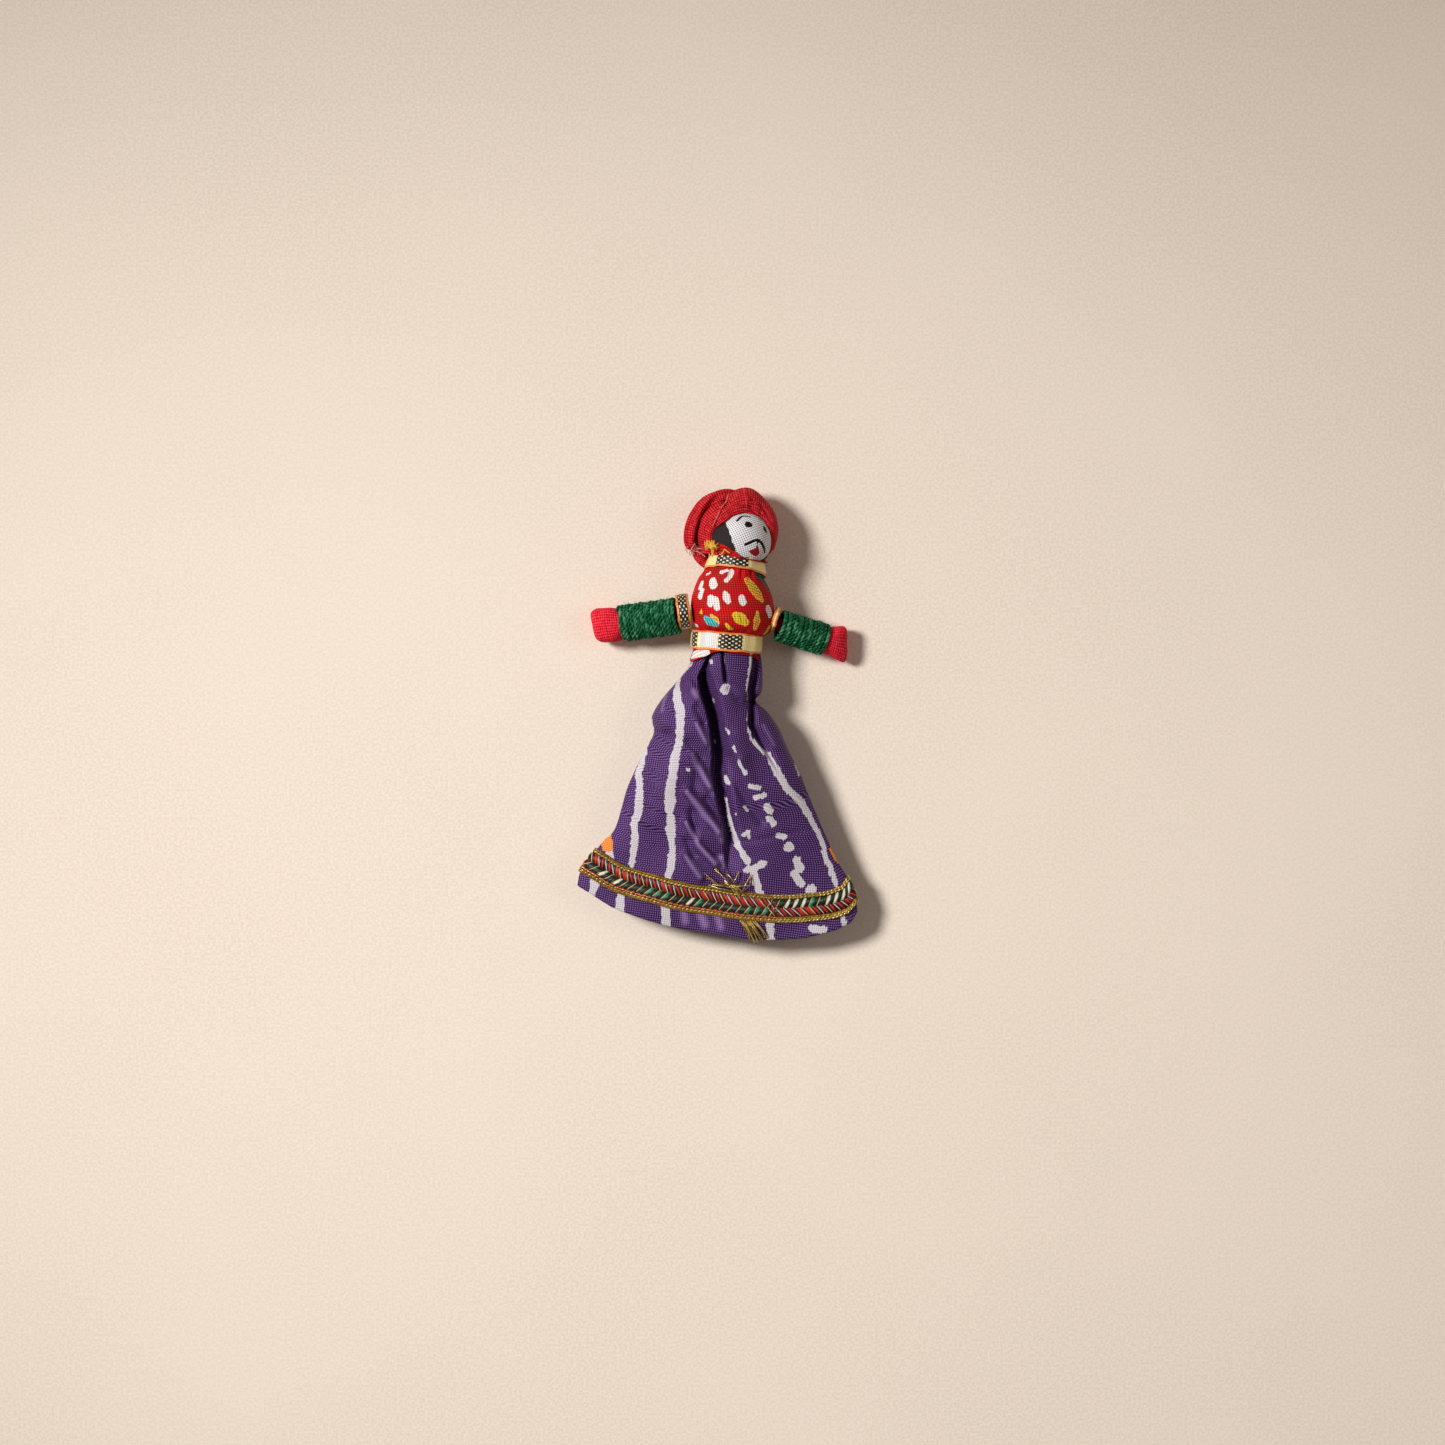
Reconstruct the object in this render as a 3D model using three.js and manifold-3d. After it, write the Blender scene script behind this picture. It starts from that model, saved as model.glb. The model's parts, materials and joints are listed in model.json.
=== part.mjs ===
// A small Rajasthani cloth kathputli doll lying on its back. Millimetres.
// +X is the viewer's right, +Y points to the head, +Z points out of the front.
// "left" and "right" are the viewer's.
// Each soft piece is a plain closed solid of its real size and place. Joints pivot at the small ball ends.
import * as THREE from 'three';
import { mergeVertices } from 'three/addons/utils/BufferGeometryUtils.js';
import Module from 'manifold-3d';

const wasm = await Module();
wasm.setup();

// Driving dimensions
const GAP = 0.35;
const SEGMENTS = 24;
const FRAME_SHIFT = { x: -0.3256, y: 1.2407 };
const TORSO = { x: 2.35, y: 19.8, z: 10.5, lean: 7.4 };
const TRUNK_STUB_BALL = 3.6;
const CLOTH_WALL = 0.7;
const WAIST_RIBBON = { halfWidth: 9.6, halfDepth: 6.8, halfLength: 3.4, wall: 0.8, tilt: 2.8 };
const SKIRT_PIVOT_DROP = 7.0;
const NECK_RISE = 15.5;
const NECK_BALL = 3.4;
const NECK_STEM = 2.3;
const NECK_TAPE_FORWARD = 1;
const HEAD = { x: 6.4, y: 47.9, z: 12, cloth: 8.5, stuffing: 7.5, neckHole: 3.6 };
const TURBAN = { x: 4.3, y: 51.4, z: 11.2, rx: 10.8, ry: 9.7, rz: 10.8, bore: 8.85 };
const TURBAN_ROLL = 2.6;
const TURBAN_NAPE = 44.3;
const TURBAN_TAIL = { z: 4, thickness: 0.8 };
const ARM_BALL = 2.1;
const ARM_ROOT = 2.95;
const YARN_WALL = 0.6;
const SHOULDER_RIBBON = { radius: 5.5, wall: 0.5, from: -0.9, to: 1.2 };
const LEFT_ARM = {
  shoulder: [-10.6, 27.1, 10], tip: [-35.5, 23.7, 4.3],
  sleeveEnd: 17.2, sleeve: 5.05, hand: 4.8, handEnd: 4.2,
};
const RIGHT_ARM = {
  shoulder: [18.2, 24, 9.8], tip: [36.2, 18.4, 3.5],
  sleeveEnd: 13.9, sleeve: 4.4, hand: 4.3, handEnd: 4.8,
};
const SKIRT = {
  apexX: 3.1, apexY: 35, fromDeg: -27, toDeg: 21.7, topRadius: 23.8, hemRadius: 96.6, wall: 1,
  topFront: 16.7, topBack: 4.3, hemFront: 10.5, back: 0.9, sideRise: 5.5,
};
const LACE = { width: 8, aboveHem: 5.2, thickness: 0.55 };
const TUFT = { neck: 0.8, spread: 0.42, thickness: 0.4 };

// Materials
function cloth(color, roughness, metalness = 0) {
  return new THREE.MeshStandardMaterial({ color, roughness, metalness });
}

const MATERIALS = {
  stuffing: cloth('#d9cdb4', 0.95),
  whiteCotton: cloth('#dcd9d8', 0.85),
  redCrepe: cloth('#b8202a', 0.8),
  redPrint: cloth('#b32a2d', 0.85),
  purplePrint: cloth('#482d5c', 0.85),
  greenYarn: cloth('#104e30', 0.95),
  gota: cloth('#e8c87a', 0.45, 0.5),
  zari: cloth('#b8923c', 0.4, 0.6),
  thread: cloth('#d8b878', 0.7),
};

const doll = new THREE.Group();

function piece(name, geometry, material, parent = doll) {
  const mesh = new THREE.Mesh(geometry, material);
  mesh.name = name;
  parent.add(mesh);
  return mesh;
}

// A skin over a row of rings of equal length, either capped at both ends or closed on itself.
function loft(rings, closed = false) {
  const count = rings[0].length;
  const points = rings.flat();
  const triangles = [];
  const spans = closed ? rings.length : rings.length - 1;
  for (let i = 0; i < spans; i++) {
    const a = i * count;
    const b = ((i + 1) % rings.length) * count;
    for (let j = 0; j < count; j++) {
      const k = (j + 1) % count;
      triangles.push(a + j, a + k, b + k, a + j, b + k, b + j);
    }
  }
  if (!closed) {
    const middle = (ring) => ring.reduce((sum, p) => sum.add(p), new THREE.Vector3()).divideScalar(count);
    const start = points.push(middle(rings[0])) - 1;
    const end = points.push(middle(rings[rings.length - 1])) - 1;
    const last = (rings.length - 1) * count;
    for (let j = 0; j < count; j++) {
      const k = (j + 1) % count;
      triangles.push(start, k, j, end, last + j, last + k);
    }
  }
  const geometry = new THREE.BufferGeometry();
  const coordinates = points.flatMap((p) => p.toArray());
  geometry.setAttribute('position', new THREE.Float32BufferAttribute(coordinates, 3));
  geometry.setIndex(triangles);
  return geometry;
}

// One oval ring across the local Y axis. A station is [along, half width, half depth, sideways offset].
function oval([along, halfWidth, halfDepth, aside = 0], segments = SEGMENTS) {
  return Array.from({ length: segments }, (_, i) => {
    const angle = (i / segments) * Math.PI * 2;
    return new THREE.Vector3(aside + halfWidth * Math.sin(angle), along, halfDepth * Math.cos(angle));
  });
}

const solidOf = (stations, segments) => loft(stations.map((s) => oval(s, segments)));

const round = (stations) => stations.map(([along, radius]) => [along, radius, radius]);

// A cloth tube, open at both ends, whose inside follows the outside at the wall's thickness.
function clothTube(stations, wall = CLOTH_WALL, segments = SEGMENTS) {
  const inside = stations.map(([along, w, d, aside = 0]) => [along, w - wall, d - wall, aside]).reverse();
  return loft([...stations, ...inside].map((s) => oval(s, segments)), true);
}

// Booleans
function toSolid(geometry, matrix = new THREE.Matrix4()) {
  const bare = geometry.clone().applyMatrix4(matrix);
  bare.deleteAttribute('normal');
  bare.deleteAttribute('uv');
  const merged = mergeVertices(bare, 1e-4);
  const mesh = new wasm.Mesh({
    numProp: 3,
    vertProperties: new Float32Array(merged.attributes.position.array),
    triVerts: new Uint32Array(merged.index.array),
  });
  return new wasm.Manifold(mesh);
}

function toGeometry(solid) {
  const mesh = solid.getMesh();
  const geometry = new THREE.BufferGeometry();
  geometry.setAttribute('position', new THREE.BufferAttribute(new Float32Array(mesh.vertProperties), 3));
  geometry.setIndex(new THREE.BufferAttribute(new Uint32Array(mesh.triVerts), 1));
  return geometry;
}

const moved = (x, y, z) => new THREE.Matrix4().makeTranslation(x, y, z);

function ball(radius, x = 0, y = 0, z = 0) {
  return toSolid(new THREE.SphereGeometry(radius, 20, 12), moved(x, y, z));
}

// Trunk: a group whose +Y runs up the leaning spine from the waist.
const trunk = new THREE.Group();
trunk.position.set(TORSO.x, TORSO.y, TORSO.z);
trunk.rotation.z = THREE.MathUtils.degToRad(-TORSO.lean);
doll.add(trunk);
trunk.updateMatrixWorld(true);

const spinePoint = (along) => new THREE.Vector3(0, along, 0).applyMatrix4(trunk.matrixWorld);

function torsoStuffing() {
  const stub = round([
    [-3.5, 0.7], [-3.1, 1.8], [-2.2, 2.85], [-1, 3.45], [0, TRUNK_STUB_BALL], [1, 3.45], [1.9, 3.05],
  ]);
  const barrel = [
    [6.2, 3.05, 3.05], [7.3, 6.4, 6], [8.2, 9, 8], [9.2, 10.6, 9, 0.9], [11.5, 10.9, 9, 0.8],
    [14.5, 10.2, 8.6, 0.3], [NECK_RISE, 9.6, 8.2, 0.2],
  ];
  const body = toSolid(solidOf([...stub, ...barrel]));
  return toGeometry(body.subtract(ball(NECK_BALL + GAP, 0, NECK_RISE, 0)));
}

function bodice() {
  const outside = [
    [4.3, 10.4, 8.9, 0.4], [6, 11.5, 9.6, 0.8], [8.5, 12.4, 10.1, 1], [11.5, 12.3, 10.2, 0.8],
    [14.5, 11.5, 9.8, 0.3], [17, 10.4, 9.2, 0], [18, 9.3, 8.5, 0], [18.3, 8.2, 7.6, 0], [18.4, 4.6, 4.6, 0],
  ];
  const inside = [
    [17.7, 4.6, 4.6, 0], [17.6, 8, 7.4, 0], [16.7, 9.7, 8.5, 0],
    [14.5, 10.8, 9.1, 0.3], [11.5, 11.6, 9.5, 0.8], [8.5, 11.7, 9.4, 1], [6, 10.8, 8.9, 0.8],
    [4.3, 9.7, 8.2, 0.4],
  ];
  return loft([...outside, ...inside].map((s) => oval(s)), true);
}

piece('torso_stuffing', torsoStuffing(), MATERIALS.stuffing, trunk);
piece('bodice', bodice(), MATERIALS.redPrint, trunk);
const neckTape = clothTube([[19.2, 9.8, 9.2], [22.7, 9.6, 9.2]]).translate(0, 0, NECK_TAPE_FORWARD);
piece('neck_ribbon', neckTape, MATERIALS.gota, trunk);

// Waist: the gathered skirt top is bound round the trunk's ball end, under the waist ribbon.
function gatheredWaist() {
  const band = [[-3.8, 6.9, 4.6], [-3.2, 8.3, 5.5], [-0.6, 8.3, 5.5]];
  const drop = SKIRT_PIVOT_DROP;
  const stub = round([
    [-drop - 3.5, 0.7], [-drop - 3.1, 1.8], [-drop - 2.2, 2.85], [-drop - 1, 3.45], [-drop, TRUNK_STUB_BALL],
    [-drop + 1, 3.45], [-drop + 2, 3],
  ]);
  const body = toSolid(solidOf([...stub, [-4.3, 3, 3], ...band]));
  return toGeometry(body.subtract(ball(TRUNK_STUB_BALL + GAP)));
}

function waistRibbon() {
  const { halfWidth, halfDepth, halfLength, wall } = WAIST_RIBBON;
  return clothTube([[-halfLength, halfWidth, halfDepth], [halfLength, halfWidth, halfDepth]], wall);
}

piece('skirt_gathers', gatheredWaist(), MATERIALS.purplePrint, trunk);
const waistBand = piece('waist_ribbon', waistRibbon(), MATERIALS.gota, trunk);
waistBand.rotation.z = THREE.MathUtils.degToRad(WAIST_RIBBON.tilt);

// Neck and head: the stem's lower ball sits in the torso, and its upper end runs up a bore in the head.
const neckBase = spinePoint(NECK_RISE);
const headCentre = new THREE.Vector3(HEAD.x, HEAD.y, HEAD.z);
const neckLine = headCentre.clone().sub(neckBase);
const neckLength = neckLine.length();
const neck = new THREE.Group();
neck.position.copy(neckBase);
neck.quaternion.setFromUnitVectors(new THREE.Vector3(0, 1, 0), neckLine.clone().normalize());
doll.add(neck);

function neckStem() {
  return solidOf(round([
    [-3.3, 0.7], [-2.9, 1.8], [-2, 2.75], [-1, 3.25], [0, NECK_BALL], [1, 3.2], [1.9, 2.8], [2.8, NECK_STEM],
    [neckLength - 3, NECK_STEM], [neckLength - 2, 1.6],
  ]), 20);
}

// A ball shell or core round the head's centre, open at the neck, turned about the neck's line.
function headLayer(outer, inner, neckRadius) {
  const startOuter = Math.asin(neckRadius / outer);
  const points = [];
  const steps = 10;
  for (let i = 0; i <= steps; i++) {
    const angle = startOuter + ((Math.PI - startOuter) * i) / steps;
    points.push(new THREE.Vector2(outer * Math.sin(angle), -outer * Math.cos(angle)));
  }
  const startInner = Math.asin(neckRadius / inner);
  for (let i = steps; i >= 0; i--) {
    const angle = startInner + ((Math.PI - startInner) * i) / steps;
    points.push(new THREE.Vector2(inner * Math.sin(angle), -inner * Math.cos(angle)));
  }
  points[steps].x = 0;
  points[steps + 1].x = 0;
  points.push(points[0].clone());
  return new THREE.LatheGeometry(points, 24).translate(0, neckLength, 0);
}

function headStuffing() {
  const core = ball(HEAD.stuffing);
  const depth = 10;
  const cylinder = new THREE.CylinderGeometry(NECK_STEM + GAP, NECK_STEM + GAP, depth, 20);
  const bore = toSolid(cylinder, moved(0, -1.5 - depth / 2, 0));
  return toGeometry(core.subtract(bore)).translate(0, neckLength, 0);
}

piece('neck_stem', neckStem(), MATERIALS.stuffing, neck);
piece('head_stuffing', headStuffing(), MATERIALS.stuffing, neck);
const headCloth = headLayer(HEAD.cloth, HEAD.stuffing + GAP, HEAD.neckHole);
piece('head_cloth', headCloth, MATERIALS.whiteCotton, neck);

// Turban: a wrapped crown, and a loose outer roll along its left and top, both behind the forehead's plane.
const browNormal = new THREE.Vector3(0.02, -0.4, 0.92).normalize();
const BROW_OFFSET = 1.2;

function behindBrow(offset) {
  const size = 80;
  const turn = new THREE.Quaternion().setFromUnitVectors(new THREE.Vector3(0, 0, 1), browNormal);
  const middle = headCentre.clone().addScaledVector(browNormal, offset - size / 2);
  const matrix = new THREE.Matrix4().compose(middle, turn, new THREE.Vector3(1, 1, 1));
  return toSolid(new THREE.BoxGeometry(size, size, size), matrix);
}

function turbanEgg(extra) {
  const { x, y, z, rx, ry, rz } = TURBAN;
  const stretch = new THREE.Matrix4().makeScale(rx + extra, ry + extra, rz + extra);
  return toSolid(new THREE.SphereGeometry(1, 24, 16), moved(x, y, z).multiply(stretch));
}

const aboveNape = (height) => toSolid(new THREE.BoxGeometry(80, 80, 80), moved(0, height + 40, 0));

function turbanCrown() {
  const hollow = ball(TURBAN.bore, HEAD.x, HEAD.y, HEAD.z);
  const wrapped = turbanEgg(0).intersect(behindBrow(BROW_OFFSET)).intersect(aboveNape(TURBAN_NAPE));
  return toGeometry(wrapped.subtract(hollow));
}

function tube(points, radius, steps, sides) {
  const path = new THREE.CatmullRomCurve3(points.map((p) => new THREE.Vector3(...p)));
  const section = new THREE.Shape();
  section.absarc(0, 0, radius, 0, Math.PI * 2, false);
  const options = { steps, curveSegments: sides / 2, extrudePath: path, bevelEnabled: false };
  return new THREE.ExtrudeGeometry(section, options);
}

function turbanRoll() {
  const path = [
    [-4.6, 45.2, 7.2], [-6.7, 47.6, 7.6], [-6.2, 52, 7.8], [-3.6, 56.2, 8], [0.6, 59, 8.4],
    [5, 60.3, 9], [9, 59.6, 10], [12.4, 57, 11], [14, 53.4, 12],
  ];
  const hollow = ball(TURBAN.bore + GAP, HEAD.x, HEAD.y, HEAD.z);
  const roll = toSolid(tube(path, TURBAN_ROLL, 18, 10));
  return toGeometry(roll.subtract(turbanEgg(GAP)).subtract(hollow));
}

function turbanTail() {
  const corners = [[-7.2, 43.4], [-3.4, 40.4], [-1.2, 43.9], [-4.2, 44]];
  const outline = new THREE.Shape(corners.map((p) => new THREE.Vector2(...p)));
  const options = { depth: TURBAN_TAIL.thickness, bevelEnabled: false };
  return new THREE.ExtrudeGeometry(outline, options).translate(0, 0, TURBAN_TAIL.z);
}

piece('turban_crown', turbanCrown(), MATERIALS.redCrepe);
piece('turban_roll', turbanRoll(), MATERIALS.redCrepe);
piece('turban_tail', turbanTail(), MATERIALS.redCrepe);

// Arms: each group's +Y runs from the shoulder's ball to the hand.
function armGroup({ shoulder, tip }) {
  const start = new THREE.Vector3(...shoulder);
  const along = new THREE.Vector3(...tip).sub(start).normalize();
  const across = along.clone().cross(new THREE.Vector3(0, 0, 1)).normalize();
  const up = across.clone().cross(along);
  const group = new THREE.Group();
  group.position.copy(start);
  group.quaternion.setFromRotationMatrix(new THREE.Matrix4().makeBasis(across, along, up));
  doll.add(group);
  return group;
}

// The cloth bag's radius inside the wound yarn, with a gap between them.
const underYarn = (sleeve) => sleeve - YARN_WALL - GAP;

function armCover({ sleeve, hand, handEnd, sleeveEnd }, length) {
  const under = underYarn(sleeve);
  const within = under - CLOTH_WALL;
  const root = ARM_ROOT - 0.5;
  const outside = [
    [0.6, ARM_ROOT - 0.05, ARM_ROOT - 0.05], [1.4, ARM_ROOT, ARM_ROOT], [3.6, under, under],
    [sleeveEnd + 0.3, under, under], [sleeveEnd + 0.8, hand - 0.4, hand - 0.5],
    [sleeveEnd + 2, hand, hand - 0.1], [length - 1.2, handEnd, hand - 0.6],
    [length - 0.3, handEnd - 0.7, hand - 1.6], [length, handEnd - 2, 1.6],
  ];
  const inside = [
    [length - 0.9, handEnd - 2.4, 1.3], [length - 1.5, handEnd - 1.4, hand - 2],
    [sleeveEnd + 2, hand - 1, hand - 1], [sleeveEnd + 0.8, within, within], [3.8, within, within],
    [1.6, root, root], [0.6, root, root],
  ];
  return { outside, inside };
}

// The cover is one cloth bag over the stuffing, open at the shoulder.
function armBag(arm, length) {
  const { outside, inside } = armCover(arm, length);
  return loft([...inside, ...outside].map((s) => oval(s, 24)));
}

function armStub() {
  const ends = [[-2.1, 1.2], [-1.6, 1.5], [-0.9, 1.8], [0, ARM_BALL], [0.9, 1.85], [1.6, 1.3], [2, 0.5]];
  return solidOf(round(ends), 20);
}

function armStuffing({ sleeve }, length) {
  const fill = underYarn(sleeve) - CLOTH_WALL - GAP;
  const ends = [[2.9, 1.9], [3.6, fill - 0.2], [4.2, fill], [length - 3.4, fill], [length - 2.2, fill - 1]];
  return solidOf(round(ends), 20);
}

// The wound yarn as one tube, narrower where it starts at the shoulder.
function sleeveYarn({ sleeve, sleeveEnd }) {
  return clothTube(round([[1.5, 3.9], [3.6, sleeve], [sleeveEnd, sleeve]]), YARN_WALL);
}

function shoulderRibbon(aside) {
  const { radius, wall, from, to } = SHOULDER_RIBBON;
  return clothTube([[from, radius, radius, aside], [to, radius, radius, aside]], wall);
}

function armPieces(side, arm, armholeRise) {
  const group = armGroup(arm);
  const length = new THREE.Vector3(...arm.tip).distanceTo(new THREE.Vector3(...arm.shoulder));
  piece(`${side}_shoulder_stub`, armStub(), MATERIALS.redCrepe, group);
  piece(`${side}_arm_stuffing`, armStuffing(arm, length), MATERIALS.stuffing, group);
  piece(`${side}_arm_cloth`, armBag(arm, length), MATERIALS.redCrepe, group);
  piece(`${side}_sleeve_yarn`, sleeveYarn(arm), MATERIALS.greenYarn, group);
  piece(`${side}_shoulder_ribbon`, shoulderRibbon(armholeRise), MATERIALS.gota, group);
}

armPieces('left', LEFT_ARM, 1.8);
armPieces('right', RIGHT_ARM, -1.2);

// Skirt: a flattened cone of cloth, open at the hem. It fans out from a point above the waist.
const mix = THREE.MathUtils.lerp;
const smooth = (t, from, to) => THREE.MathUtils.smoothstep(t, from, to);

const hemRadius = (u) => SKIRT.hemRadius + 3 * u - 1.4 * u ** 6;

// A point of the skirt at radius share t and ring angle, moved out by a distance from the cloth.
function skirtPoint(share, angle, out = 0, fromHem = null) {
  const u = Math.cos(angle);
  const side = Math.sin(angle);
  const radius = fromHem === null ? mix(SKIRT.topRadius, hemRadius(u), share) : hemRadius(u) - fromHem;
  const t = fromHem === null ? share : (radius - SKIRT.topRadius) / (hemRadius(u) - SKIRT.topRadius);
  const swing = THREE.MathUtils.degToRad(mix(SKIRT.fromDeg, SKIRT.toDeg, (u + 1) / 2));
  const front = mix(SKIRT.topFront, SKIRT.hemFront, smooth(t, 0, 0.9) ** 0.8);
  const back = mix(SKIRT.topBack, SKIRT.back, smooth(t, 0, 0.24));
  const edge = mix((front - back) / 2, SKIRT.sideRise, smooth(t, 0, 0.3));
  const rise = side >= 0 ? side ** mix(1, 1.3, t) : Math.max(0, 1 + side * mix(1, 1.6, smooth(t, 0, 0.3)));
  const z = side >= 0 ? back + edge + (front - back - edge) * rise : back + edge * rise;
  const halfWidth = radius * 0.42;
  const flat = side < -0.6;
  const normal = flat ? new THREE.Vector2(0, -1) : new THREE.Vector2(u / halfWidth, side / 5).normalize();
  const spread = (normal.x * out) / radius;
  return new THREE.Vector3(
    SKIRT.apexX + radius * Math.sin(swing + spread),
    SKIRT.apexY - radius * Math.cos(swing + spread),
    z + normal.y * out,
  );
}

function skirtRing(share, out, fromHem) {
  const segments = 32;
  const turn = (i) => (i / segments) * Math.PI * 2;
  return Array.from({ length: segments }, (_, i) => skirtPoint(share, turn(i), out, fromHem));
}

function skirt() {
  const shares = [0, 0.07, 0.14, 0.24, 0.36, 0.55, 0.78, 1];
  const outside = shares.map((t) => skirtRing(t, 0));
  const inside = shares.map((t) => skirtRing(t, -SKIRT.wall)).reverse();
  return loft([...outside, ...inside], true);
}

function hemLace() {
  const { width, aboveHem, thickness } = LACE;
  const rows = [aboveHem + width, aboveHem + width / 2, aboveHem];
  const outside = rows.map((d) => skirtRing(0, GAP + thickness, d));
  const inside = rows.map((d) => skirtRing(0, GAP, d)).reverse();
  return loft([...outside, ...inside], true);
}

piece('skirt', skirt(), MATERIALS.purplePrint);
piece('hem_lace', hemLace(), MATERIALS.zari);

// The loose ends of the lace's two gold braids.
function threadTuft(x, y, z, length, turnDeg) {
  const fan = new THREE.Shape();
  fan.moveTo(-TUFT.neck, 0);
  fan.lineTo(TUFT.neck, 0);
  fan.lineTo(length * TUFT.spread, -length);
  fan.lineTo(-length * TUFT.spread, -length);
  fan.closePath();
  const geometry = new THREE.ExtrudeGeometry(fan, { depth: TUFT.thickness, bevelEnabled: false });
  return geometry.rotateZ(THREE.MathUtils.degToRad(turnDeg)).translate(x, y, z);
}

piece('lace_end_upper', threadTuft(6, -48.4, 12.6, 6, 165), MATERIALS.thread);
piece('lace_end_lower', threadTuft(9, -57.8, 11.9, 7, 28), MATERIALS.thread);

doll.position.set(FRAME_SHIFT.x, FRAME_SHIFT.y, 0);
doll.updateMatrixWorld(true);

export default doll;
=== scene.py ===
"""The looks of a small Rajasthani cloth kathputli doll that lies on its back.

Points are written in drawing millimetres: x to the viewer's right, y to the head, z out of the front.
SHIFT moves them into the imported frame. "Left" and "right" are the viewer's.
"""
import json
import math

import bpy
import numpy as np
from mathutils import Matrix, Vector


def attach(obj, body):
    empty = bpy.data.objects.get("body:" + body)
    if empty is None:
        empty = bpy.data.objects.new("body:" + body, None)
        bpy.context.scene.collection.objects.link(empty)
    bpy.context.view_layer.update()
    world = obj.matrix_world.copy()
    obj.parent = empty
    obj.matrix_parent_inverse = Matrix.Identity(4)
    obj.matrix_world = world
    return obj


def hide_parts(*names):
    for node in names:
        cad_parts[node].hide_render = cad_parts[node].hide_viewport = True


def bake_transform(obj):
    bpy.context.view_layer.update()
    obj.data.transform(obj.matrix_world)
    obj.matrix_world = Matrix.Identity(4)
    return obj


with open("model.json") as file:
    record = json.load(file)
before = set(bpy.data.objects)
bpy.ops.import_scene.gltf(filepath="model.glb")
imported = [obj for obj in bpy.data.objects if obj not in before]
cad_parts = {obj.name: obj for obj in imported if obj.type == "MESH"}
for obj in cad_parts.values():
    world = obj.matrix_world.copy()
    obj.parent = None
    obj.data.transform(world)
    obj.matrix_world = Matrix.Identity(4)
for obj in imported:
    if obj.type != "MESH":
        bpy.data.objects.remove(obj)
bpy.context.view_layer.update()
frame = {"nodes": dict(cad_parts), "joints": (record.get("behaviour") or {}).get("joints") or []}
MM = 0.001
JOINTS = {joint["name"]: joint for joint in frame["joints"]}

# Driving dimensions
WAIST = np.array([2.35, 19.8, 10.5])
LEAN = math.radians(7.4)
HEAD = np.array([6.4, 47.9, 12.0])
HEAD_RADIUS = 8.5
THREAD = 0.64
SHIFT = np.array(JOINTS["waist_bend"]["pos_m"]) / MM - WAIST
SPINE = np.array([math.sin(LEAN), math.cos(LEAN), 0.0])
LATERAL = np.array([math.cos(LEAN), -math.sin(LEAN), 0.0])
UP = np.array([0.0, 0.0, 1.0])
CURVE_STEPS = 14
FAR_OFF = 50.0
WEAVE_WANDER = 0.25
INK_EDGE = 0.06


# Shapes
def metres(point):
    """A drawing point, or many of them, in the frame's metres."""
    return (point + SHIFT) * MM


def on_spine(along):
    return WAIST + along * SPINE


def unit(v):
    v = np.asarray(v, float)
    return v / np.maximum(np.linalg.norm(v, axis=-1, keepdims=True), 1e-9)


def ease(x, low, high):
    t = np.clip((x - low) / (high - low), 0, 1)
    return t * t * (3 - 2 * t)


def even(line, count):
    """The line again, with evenly spaced points."""
    steps = np.linalg.norm(np.diff(line, axis=0), axis=1)
    lengths = np.concatenate([[0], np.cumsum(steps)])
    at = np.linspace(0, lengths[-1], count)
    return np.stack([np.interp(at, lengths, line[:, k]) for k in range(line.shape[1])], axis=1)


def curve(points, count):
    """A smooth line through the points."""
    p = np.asarray(points, float)
    p = np.vstack([2 * p[0] - p[1], p, 2 * p[-1] - p[-2]])
    t = np.linspace(0, 1, CURVE_STEPS, endpoint=False)[:, None]
    spans = []
    for a, b, c, d in zip(p[:-3], p[1:-2], p[2:-1], p[3:]):
        squared = 2 * a - 5 * b + 4 * c - d
        cubed = 3 * b - a - 3 * c + d
        spans.append(0.5 * (2 * b + (c - a) * t + squared * t**2 + cubed * t**3))
    return even(np.vstack([*spans, p[-2:-1]]), count)


def new_object(name, points, faces, material, corner_uv=None, values=None):
    """A smooth mesh from drawing points, with a cloth map in mm and named values for its points."""
    mesh = bpy.data.meshes.new(name)
    mesh.from_pydata(metres(np.asarray(points)).tolist(), [], np.asarray(faces).tolist())
    mesh.polygons.foreach_set("use_smooth", [True] * len(mesh.polygons))
    if corner_uv is not None:
        mesh.uv_layers.new(name="cloth").data.foreach_set("uv", np.asarray(corner_uv, np.float32).ravel())
    for key, value in (values or {}).items():
        attribute = mesh.attributes.new(key, "FLOAT", "POINT")
        attribute.data.foreach_set("value", np.asarray(value, np.float32).ravel())
    mesh.materials.append(material)
    mesh.update()
    obj = bpy.data.objects.new(name, mesh)
    bpy.context.scene.collection.objects.link(obj)
    return obj


def grid_quads(rows, columns, closed):
    """The faces of a grid as numbers of its points, and as numbers of its map's corners."""
    i = np.arange(rows - 1)[:, None]
    j = np.arange(columns if closed else columns - 1)[None, :]
    k = (j + 1) % columns
    quads = [i * columns + j, i * columns + k, (i + 1) * columns + k, (i + 1) * columns + j]
    wide = columns + 1 if closed else columns
    corners = [i * wide + j, i * wide + j + 1, (i + 1) * wide + j + 1, (i + 1) * wide + j]
    return np.stack(quads, -1).reshape(-1, 4), np.stack(corners, -1).reshape(-1, 4)


def cloth_grid(name, grid, material, uv, closed=True, values=None, flip=False):
    """Cloth over rows and columns of points. On a closed one the map has one more column than the points."""
    rows, columns = grid.shape[:2]
    quads, corners = grid_quads(rows, columns, closed)
    if flip:
        quads, corners = quads[:, ::-1], corners[:, ::-1]
    flat = np.asarray(uv).reshape(-1, 2)
    return new_object(name, grid.reshape(-1, 3), quads, material, flat[corners.ravel()], values)


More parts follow.
